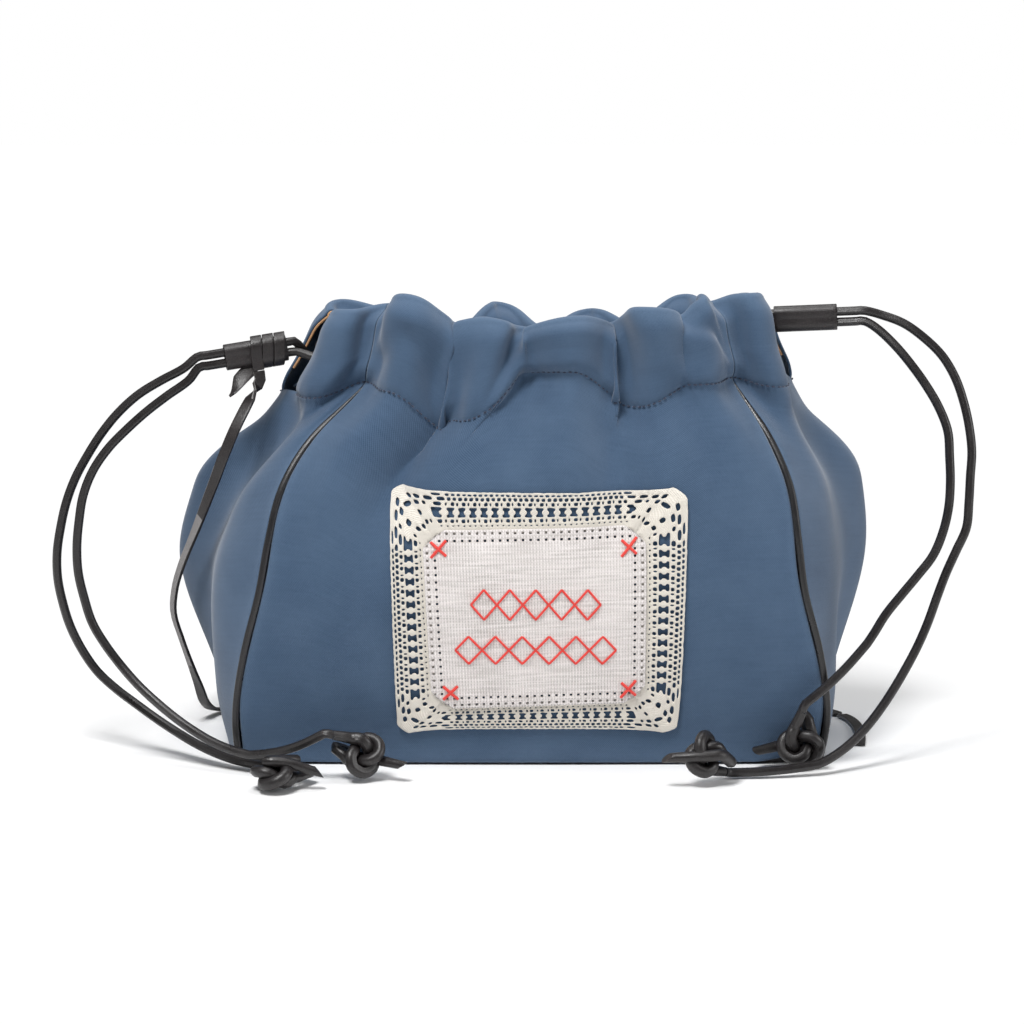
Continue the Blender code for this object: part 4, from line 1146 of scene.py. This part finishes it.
SLIDER_ROUND, SLIDER_ROWS = 48, 14
WAIST, WAIST_HEIGHT = 0.25 * MM, 0.9 * MM
for side, (middle, along, up) in SLIDERS.items():
    across = up.cross(along)

    def place(column, row):
        """A point of the slider's wall; the leather gives a little between the strands."""
        flat, way = stadium(column / SLIDER_ROUND, SLIDER_RADIUS)
        slack = 0.4 + 0.6 * math.sin(math.pi * row / SLIDER_ROWS)
        flat = flat - way * WAIST * math.exp(-(flat.y / WAIST_HEIGHT) ** 2) * slack
        return middle + across * flat.x + up * flat.y + along * SLIDER_LENGTH * (row / SLIDER_ROWS - 0.5)

    slider = lay_grid(f"{side}_slider_leather", SLIDER_ROUND, SLIDER_ROWS, place)
    sew_edges(slider)
    thicken(slider, SLIDER_WALL, 0)
    cut_edges(slider)
    finish_piece(slider, slider_leather, f"{side}_slider", (f"{side}_slider",))


# %% Flat bands
def flat_band(name, line, sides, width, thickness, columns=6, tip=0.0):
    """A flat strip along a line; sides holds the ways across it, and tip is its pointed end's length."""
    def place(column, row):
        left = path_length(line[row:]) if tip else 0.0
        narrow = min(1.0, 0.1 + left / tip) if tip else 1.0
        return line[row] + sides[row].normalized() * width * (column / columns * narrow - 0.5)

    piece = lay_grid(name, columns, len(line) - 1, place)
    thicken(piece, thickness, 0)
    cut_edges(piece)
    return piece


def two_sided(piece, way, least=0.6):
    """Give the faces that look a way the grey suede of the leather's rough side."""
    piece.data.materials.append(grey_suede)
    for face in piece.data.polygons:
        if face.normal.dot(way.normalized()) > least:
            face.material_index = 1


WRAPS, WRAP_STEP, WRAP_POINTS = 2, STRAP_WIDTH + FIT, 48
TAKE_OFF, TAKE_OFF_POINTS = 7.5 * MM, 9
middle, along, up = SLIDERS["left"]
across = up.cross(along)
wrap_radius = SLIDER_RADIUS + SLIDER_WALL / 2 + FIT + STRAP / 2
wrap_start = middle - along * (SLIDER_LENGTH - STRAP_WIDTH) / 2
line, sides = [], []
for k in range(WRAPS * WRAP_POINTS + WRAP_POINTS // 4 + 1):
    flat, way = stadium(0.25 - k / WRAP_POINTS, wrap_radius)
    line.append(wrap_start + across * flat.x + up * flat.y + along * WRAP_STEP * k / WRAP_POINTS)
    sides.append(along)
front_way = line[-1] - line[-2]
front_way = (front_way - along * front_way.dot(along)).normalized()
for k in range(TAKE_OFF_POINTS):
    line.append(line[-1] + front_way * TAKE_OFF / TAKE_OFF_POINTS)
    sides.append(along)
strap_knot = flat_band("strap_knot_leather", line, sides, STRAP_WIDTH, STRAP)
finish_piece(strap_knot, slider_leather, "left_slider", ("strap_knot",))
strap_end, strap_way = line[-1], front_way

# %% The strap's short tail
root = middle + along * 2.0 * MM - up * wrap_radius * 1.3 + across * 1.0 * MM
tail_way = (along * 1.1 - up * 0.6 + Vector((0, -0.25, 0))).normalized()
line = [root + tail_way * d * MM - up * 0.014 * d * d * MM for d in range(0, 17)]
sides = []
for k in range(len(line)):
    turn = math.radians(15 + 75 * k / len(line))
    flat_way = tail_way.cross(Vector((0, -1, 0))).normalized()
    sides.append(flat_way * math.cos(turn) + tail_way.cross(flat_way) * math.sin(turn) * 0.4)
tail = flat_band("strap_tail_leather", line, sides, STRAP_WIDTH * 1.3, STRAP * 0.8, 6, 9 * MM)
finish_piece(tail, slider_leather, "left_slider")
two_sided(tail, Vector((0, -0.2, -1)), 0.3)

# %% The strap's long end
TURN_OVER = 20 * MM         # the strap leaves its knot lying on the slider and turns within this reach
LOW_FROM, LOW_OVER = 140 * MM, 50 * MM      # further down it turns its edge to the front
LIE_FROM, LIE_OVER = 40 * MM, 36 * MM       # and comes to lie flat on the table
stops = [strap_end + strap_way * 4 * MM] + [Vector(p) * MM for p in STRAP_ROUTE]
coarse = [strap_end + strap_way * FIT] + smooth_route(stops, 13 * MM)
line = smooth_route(coarse, 3.5 * MM)
sides = []
for k, point in enumerate(line):
    ahead = (line[min(k + 1, len(line) - 1)] - line[max(k - 1, 0)]).normalized()
    away = (point - strap_end).length
    turned = min(1.0, away / TURN_OVER)
    lower = clamp((LOW_FROM - point.z) / LOW_OVER)
    hang = along * (1 - turned) + Vector((0.95, -0.3, 0)).lerp(Vector((0.5, -0.85, 0)), lower) * turned
    lying = ahead.cross(Vector((0, 0, 1)))
    share = clamp((LIE_FROM - point.z) / LIE_OVER)
    blend = hang * (1 - share) + lying.normalized() * (share if lying.dot(hang) > 0 else -share)
    sides.append(blend - ahead * blend.dot(ahead))
strap = flat_band("strap_leather", line, sides, STRAP_WIDTH, STRAP, 4)
finish_piece(strap, slider_leather, None, ("strap",))
length = path_length(line)
print("strap", round(length, 4), "m")
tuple(line[0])
two_sided(strap, Vector((-1, 0.2, 0)))
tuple(line[0])
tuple(line[round(len(line) * 0.16)])
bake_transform(strap)

# %% [markdown]
# ## Piping
# A thin leather welt is sewn into the seams round the front and the back. It is rolled like the cords
# and its stitched side is hidden in the seam, so it is a tube with a fine groove along one side.

# %% Welts
WELT_IN = CLOTH / 2 + FIT + WELT / 2
WELT_PROUD = 0.5 * MM
WELT_SHARES = (0.985, 0.935, 0.84, 0.73, 0.6, 0.46, 0.3, 0.14, 0.025)
WELT_FOOT = WELT / 2 + FIT / 2


def welt_stops(panel):
    """The points that a welt passes: down one side seam, along the foot and up the other side."""
    def under(s):
        point = body(panel, s, 0, -WELT_IN)
        return Vector((point.x, point.y, WELT_FOOT))

    def corner(end):
        point = body(panel, end, 0, WELT_PROUD).lerp(under(abs(end - 0.03)), 0.3)
        return Vector((point.x, point.y, WELT_FOOT))

    stops = [body(panel, 0, v, WELT_PROUD) for v in WELT_SHARES] + [corner(0)]
    stops += [under(0.03 + 0.94 * k / 12) for k in range(13)]
    return stops + [corner(1)] + [body(panel, 1, v, WELT_PROUD) for v in reversed(WELT_SHARES)]


def welt_profile(angle):
    """Radius of the welt at an angle, with a groove where its two edges meet."""
    return 1 - 0.14 * math.exp(-(((angle + math.pi) % math.tau - math.pi) / 0.16) ** 2)


for panel, name in (("front", "front_piping"), ("back", "back_piping")):
    facing = Vector((-0.6, -1, 0)) if panel == "front" else Vector((0.6, 1, 0))
    line = smooth_route(welt_stops(panel), 3 * MM)
    last = len(line) - 1
    piping = wrapped_tube(f"{name}_leather", line, WELT, facing, sides=16, profile=welt_profile,
                          swell=lambda row: min(1.0, 0.2 + 0.1 * min(row, last - row)))
    finish_piece(piping, welt_leather, stands_for=(name,))

# %% [markdown]
# ## Inside and underneath
# The lining is a plain cotton bag a little smaller than the twill, so it hangs inside without pulling.
# The base is a flat panel, which the CAD already has in its right shape.

# %% Lining
LINING_EASE, GUSSET_SLACK, BASE = 3 * MM, 2 * MM, 1.4 * MM
LINING_GAP = CLOTH / 2 + LINING / 2 + LINING_EASE
LINING_COUNTS = {"front": 14, "right": 10, "back": 14, "left": 10}
LINING_SHARES = (0.0, 0.06, 0.18, 0.3, 0.45, 0.6, 0.72, 0.84, 0.935)
lining_low = BASE + FIT + LINING / 2
round_the_bag = [(panel, 0.07 + 0.86 * c / (count - 1))
                 for panel, count in LINING_COUNTS.items() for c in range(count)]


def lining_place(column, row):
    """A point of the lining; the last column meets the first."""
    panel, s = round_the_bag[column % len(round_the_bag)]
    v = LINING_SHARES[row]
    gap = LINING_GAP + gathered(v) * GATHER / 2
    gap += WELT_IN + WELT / 2 if row == 0 else 0
    gap += GUSSET_SLACK if panel in ("left", "right") else 0
    plan = off_mean(panel, s, v * NECK, 0, -gap)
    return Vector((plan.x, plan.y, max(lining_low, v * sewn(panel, s))))


lining = lay_grid("lining_cloth", len(round_the_bag), len(LINING_SHARES) - 1, lining_place)
sew_edges(lining)
close_ends(lining, lambda edge: max(v.co.z for v in edge.verts) < lining_low + FIT)
thicken(lining, LINING, 0)
finish_piece(lining, lining_cloth, stands_for=("lining",))
declare_sheet(lining)

# %% Base
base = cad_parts["base_panel"]
base.data.materials.clear()
base.data.materials.append(twill_base)

# %% [markdown]
# ## Slit edges and stitches
# Where the cords leave the casing, each gusset has a slit with a narrow edge of raw tan leather. The
# casing is closed by a line of navy stitches, each a short bead of thread that dips into the cloth.
# One stitch is modelled, and the line is made of copies of it.

# %% Slit edges
BINDING = 1 * MM
for panel, ends in (("left", ("back", "front")), ("right", ("front", "back"))):
    for side, end in zip((-1, 1), ends):
        edge = 0.5 + side * SLIT / 2 / plan_width(panel, 1)
        line = []
        for row in range(BODY_ROWS + 6, BODY_ROWS + OUTER_ROWS + RIM_ROWS + 1):
            path = row_path(panel, row)[0]
            cloth_edge = path(edge)
            way = (path(edge - side * 0.01) - cloth_edge).normalized()
            line.append(cloth_edge + way * (2 * FIT + BINDING / 2))
        name = f"{panel}_binding_{end}"
        piece = wrapped_tube(f"{name}_leather", line, BINDING * 1.15, (0, -1, 0), 8, lambda angle: 1)
        finish_piece(piece, tan_leather, stands_for=(name,))


# %% Copies of one small model
def copies(name, source, matrices, look):
    """One mesh made of copies of a small model, each placed by its own matrix."""
    mesh = bmesh.new()
    for matrix in matrices:
        one = source.data.copy()
        one.transform(matrix)
        mesh.from_mesh(one)
        bpy.data.meshes.remove(one)
    data = bpy.data.meshes.new(name)
    mesh.to_mesh(data)
    mesh.free()
    data.shade_smooth()
    piece = bpy.data.objects.new(name, data)
    bpy.context.collection.objects.link(piece)
    return finish_piece(piece, look)


def facing_matrix(place, along, outward_way, size=(1, 1, 1)):
    """A matrix that lays a model's X along a line and its Z away from the cloth."""
    along = along.normalized()
    side = outward_way.cross(along).normalized()
    turned = Matrix((along, side, along.cross(side))).transposed().to_4x4()
    return Matrix.Translation(place) @ turned @ Matrix.Diagonal((*size, 1))


STITCH_PITCH, STITCH_LENGTH, STITCH_WIDTH = 2.6 * MM, 1.8 * MM, 0.8 * MM
deselect()
bpy.ops.mesh.primitive_uv_sphere_add(segments=8, ring_count=5, radius=0.5)
bead = bpy.context.object
bead.name = "stitch"
stitches = []
for panel in ORDER:
    fine = [casing(panel, k / 400, 0, 1, CLOTH / 2 + crease(panel, k / 400, 1)) for k in range(401)]
    step, gone = STITCH_PITCH, STITCH_PITCH / 2
    for k in range(400):
        gone += (fine[k + 1] - fine[k]).length
        s = (k + 0.5) / 400
        if gone < step or (panel in ("left", "right") and abs(s - 0.5) * plan_width(panel, 1) < SLIT / 2):
            continue
        gone -= step
        way = outward(lambda p, t: mean(p, t, NECK, 1), panel, s)
        away = Vector((way.x, way.y, 0))
        place = (fine[k] + fine[k + 1]) / 2
        size = (STITCH_LENGTH, STITCH_WIDTH, STITCH_WIDTH * 0.8)
        stitches.append(facing_matrix(place, fine[k + 1] - fine[k], away, size))
copies("casing_stitches", bead, stitches, navy_thread)
bpy.data.objects.remove(bead)
print("casing stitches:", len(stitches))

# %% [markdown]
# ## The label
# A square of linen is framed by a border of knotted lace and sewn to the front. The lace is a grid
# round the label with its holes cut out: small square holes outside, a row of tall ones in the middle
# and pinholes next to the linen. Rounding then turns the bars between the holes into threads. The
# linen carries a cross of red thread in each corner and two rows of plain diamonds.

# %% Places on the label
LABEL_TOP, LABEL_FOOT, LABEL_LEFT, LABEL_RIGHT = 126 * MM, 14 * MM, -58 * MM, 69 * MM
LABEL_WAIST, LACE, LINEN = 3 * MM, 0.8 * MM, 0.7 * MM
LABEL_OFF = CLOTH / 2 + 3 * FIT + LACE / 2
TIP = 9 * MM                # reach of the pulled-out corner tips
BOWS = (3.4, -2.2, 3.4, -0.6)      # how far each edge pulls in, or bulges out, between its tips
FAN = 0.1                   # share of a side where the lace's bars fan out to the corner
wobbles = random.Random(7)


def on_front(x, z, off):
    """A point off the front of the bag at a width and a height."""
    v = z / NECK
    for _ in range(3):
        left, right = section("front_left", v * NECK), section("front_right", v * NECK)
        s = (x - left) / (right - left)
        v = z / sewn("front", s)
    return body("front", s, v, off + crease("front", s, v))


# Corners of the label, counterclockwise from the lower left
OUTER_CORNERS = [Vector(corner) for corner in (
    (LABEL_LEFT + LABEL_WAIST, LABEL_FOOT), (LABEL_RIGHT - LABEL_WAIST, LABEL_FOOT),
    (LABEL_RIGHT, LABEL_TOP), (LABEL_LEFT, LABEL_TOP))]
PHOTO_LEFT, PHOTO_RIGHT, PHOTO_TOP, PHOTO_FOOT = 390, 684, 481, 733     # the same in pixels of the photograph


def label_place(x, y):
    """Width and height on the label of a pixel of the photograph."""
    across = (x - PHOTO_LEFT) / (PHOTO_RIGHT - PHOTO_LEFT)
    down = (y - PHOTO_TOP) / (PHOTO_FOOT - PHOTO_TOP)
    foot = OUTER_CORNERS[0].lerp(OUTER_CORNERS[1], across)
    return OUTER_CORNERS[3].lerp(OUTER_CORNERS[2], across).lerp(foot, down)


LINEN_CORNERS = [label_place(*pixel) for pixel in ((427, 704), (651, 697), (647, 520), (422, 525))]


def lace_point(side, share, deep, jitter=0.0):
    """A point of the lace: its side, the share along that side, and 0 at the edge to 1 at the linen."""
    a, b = OUTER_CORNERS[side], OUTER_CORNERS[(side + 1) % 4]
    c, d = LINEN_CORNERS[side], LINEN_CORNERS[(side + 1) % 4]
    inner = c.lerp(d, share)
    middle = (LINEN_CORNERS[0] + LINEN_CORNERS[2]) / 2
    inner = inner.lerp(middle, 0.09 * max(0.0, 1 - 16 * min(share, 1 - share)) ** 2)
    run = (b - a).normalized()
    first, last = (c - a).dot(run), (b - d).dot(run)
    at = (inner - a).dot(run) - first * max(0.0, 1 - share / FAN) - last * -max(0.0, 1 - (1 - share) / FAN)
    at = min((b - a).length, max(0.0, at))
    tip = min(at, (b - a).length - at)
    outer = a + run * at + Vector((-run.y, run.x)) * BOWS[side] * MM * (1 - math.exp(-tip / TIP))
    place = outer.lerp(inner, deep)
    if jitter:
        place = place + Vector((wobbles.uniform(-jitter, jitter), wobbles.uniform(-jitter, jitter)))
    return on_front(place.x, place.y, LABEL_OFF)


# %% Lace border
# Rows of the lace from its edge inwards: height in pixels of the photograph, and for each of the six
# cells of a repeat whether it is a hole
LACE_ROWS = (
    (2.0, "------"), (1.8, "-oo-oo"), (1.3, "------"), (3.0, "oo-oo-"), (1.4, "------"),
    (3.2, "-oo--o"), (1.5, "------"), (2.4, "-oooo-"), (3.8, "--oo--"), (2.4, "-oooo-"),
    (1.6, "------"), (3.2, "-oo--o"), (2.2, "------"), (1.2, "-o--o-"), (2.4, "------"), (5.0, "------"),
)
CORNER_ROWS = (3, 5, 8, 11)     # rows whose holes go on through the round knots at the corners
REPEATS = (20, 16, 20, 16)
CELL = 6
lace_insets = [0.0]
for height, pattern in LACE_ROWS:
    lace_insets.append(lace_insets[-1] + height)
REACH_UNDER = 1 + LACE_ROWS[-1][0] / (lace_insets[-1] - LACE_ROWS[-1][0])
lace_insets = [inset * REACH_UNDER / lace_insets[-1] for inset in lace_insets]
lace_columns = sum(REPEATS) * CELL
column_side = [(side, c / (count * CELL)) for side, count in enumerate(REPEATS) for c in range(count * CELL)]


def lace_place(column, row):
    """A point of the lace grid; the last column meets the first."""
    side, share = column_side[column % lace_columns]
    return lace_point(side, share, lace_insets[row], 0.16 * MM)


def lace_hole(column, row):
    """Whether a cell is cut out; the corners are knotted closer."""
    share = column_side[column][1]
    if min(share, 1 - share) < FAN * 0.7 and row not in CORNER_ROWS:
        return False
    return LACE_ROWS[row][1][column % CELL] == "o"


lace_points = {(c, r): lace_place(c, r) for c in range(lace_columns) for r in range(len(LACE_ROWS) + 1)}
lace = lay_grid("lace_border_cotton", lace_columns, len(LACE_ROWS),
                lambda c, r: lace_points[c % lace_columns, r], lace_hole)
sew_edges(lace)
thicken(lace, LACE * 0.9, 0)
rounder = lace.modifiers.new("Round", "SUBSURF")
rounder.levels = rounder.render_levels = 1
apply_modifiers(lace)
lace.data.shade_smooth()
finish_piece(lace, cotton, stands_for=("lace_border",))
declare_sheet(lace)

# %% Linen
LINEN_ACROSS, LINEN_UP = 88, 76
LINEN_OFF = LABEL_OFF + LACE / 2 + LINEN / 2 + FIT / 3


def linen_flat(u, v):
    """A place on the linen in width and height; its corners are rounded off."""
    low, high = LINEN_CORNERS[0].lerp(LINEN_CORNERS[1], u), LINEN_CORNERS[3].lerp(LINEN_CORNERS[2], u)
    at = low.lerp(high, v)
    middle = (LINEN_CORNERS[0] + LINEN_CORNERS[2]) / 2
    corner = max(0.0, abs(2 * u - 1) + abs(2 * v - 1) - 1.8)
    return at.lerp(middle, corner * 0.45)


def linen_place(column, row):
    """A point of the linen, a little uneven where it is pulled by its threads."""
    at = linen_flat(column / LINEN_ACROSS, row / LINEN_UP)
    wave = 0.15 * MM * (1 + math.sin(at.x * 210 + 1) * math.sin(at.y * 240))
    return on_front(at.x, at.y, LINEN_OFF + wave)


def hemstitch(column, row):
    """Pinholes in two rows inside the linen's edge."""
    deep = min(column, LINEN_ACROSS - 1 - column, row, LINEN_UP - 1 - row)
    along = column if min(row, LINEN_UP - 1 - row) == deep else row
    return deep in (1, 4) and along % 3 == 0


linen_piece = lay_grid("label_linen_cloth", LINEN_ACROSS, LINEN_UP, linen_place, hemstitch)
thicken(linen_piece, LINEN, 0)
finish_piece(linen_piece, linen, stands_for=("label_linen",))
declare_sheet(linen_piece)

# %% Red thread
def red_stroke(a, b, width):
    """Points of one stitch of thick thread, which dips into the linen at both ends."""
    points = []
    for k in range(7):
        t = k / 6
        at = a.lerp(b, t)
        lift = LINEN / 2 + width * 0.42 * math.sin(math.pi * t) ** 0.5 - 0.12 * MM
        points.append(on_front(at.x, at.y, LINEN_OFF + 0.15 * MM + lift))
    return points


def join_pieces(name, pieces, look):
    """Join small pieces into one."""
    deselect()
    for piece in pieces:
        piece.select_set(True)
    bpy.context.view_layer.objects.active = pieces[0]
    bpy.ops.object.join()
    pieces[0].name = pieces[0].data.name = name
    return finish_piece(pieces[0], look)


def stroke_pieces(strokes, width):
    """A thread tube for each stroke, given as two places on the label."""
    made = []
    for k, (a, b) in enumerate(strokes):
        points = red_stroke(a, b, width)
        made.append(wrapped_tube(f"stroke_{k}", points, width, (0, -1, 0), 8, lambda angle: 1))
    return made


CROSS_ARM = 7.6
crosses = []
for x, y, slant in ((438, 543, 1.1), (630, 541, 1.2), (447, 687, 0.9), (633, 683, 1.15)):
    for dx, dy in ((-1, slant), (1, 0.85)):
        crosses.append((label_place(x - CROSS_ARM * dx, y - CROSS_ARM * dy),
                        label_place(x + CROSS_ARM * dx, y + CROSS_ARM * dy)))
join_pieces("corner_crosses", stroke_pieces(crosses, 1.35 * MM), red_thread)

diamonds = []
for left, right, y, half, count in ((470, 602, 597, 15, 5), (453, 619, 643, 14, 6)):
    wide = (right - left) / count
    for k in range(count):
        x = left + wide * (k + 0.5)
        tips = [(x - wide / 2, y), (x, y - half), (x + wide / 2, y), (x, y + half)]
        diamonds += [(label_place(*tips[i]), label_place(*tips[(i + 1) % 4])) for i in range(4)]
join_pieces("diamond_rows", stroke_pieces(diamonds, 1.05 * MM), red_thread)
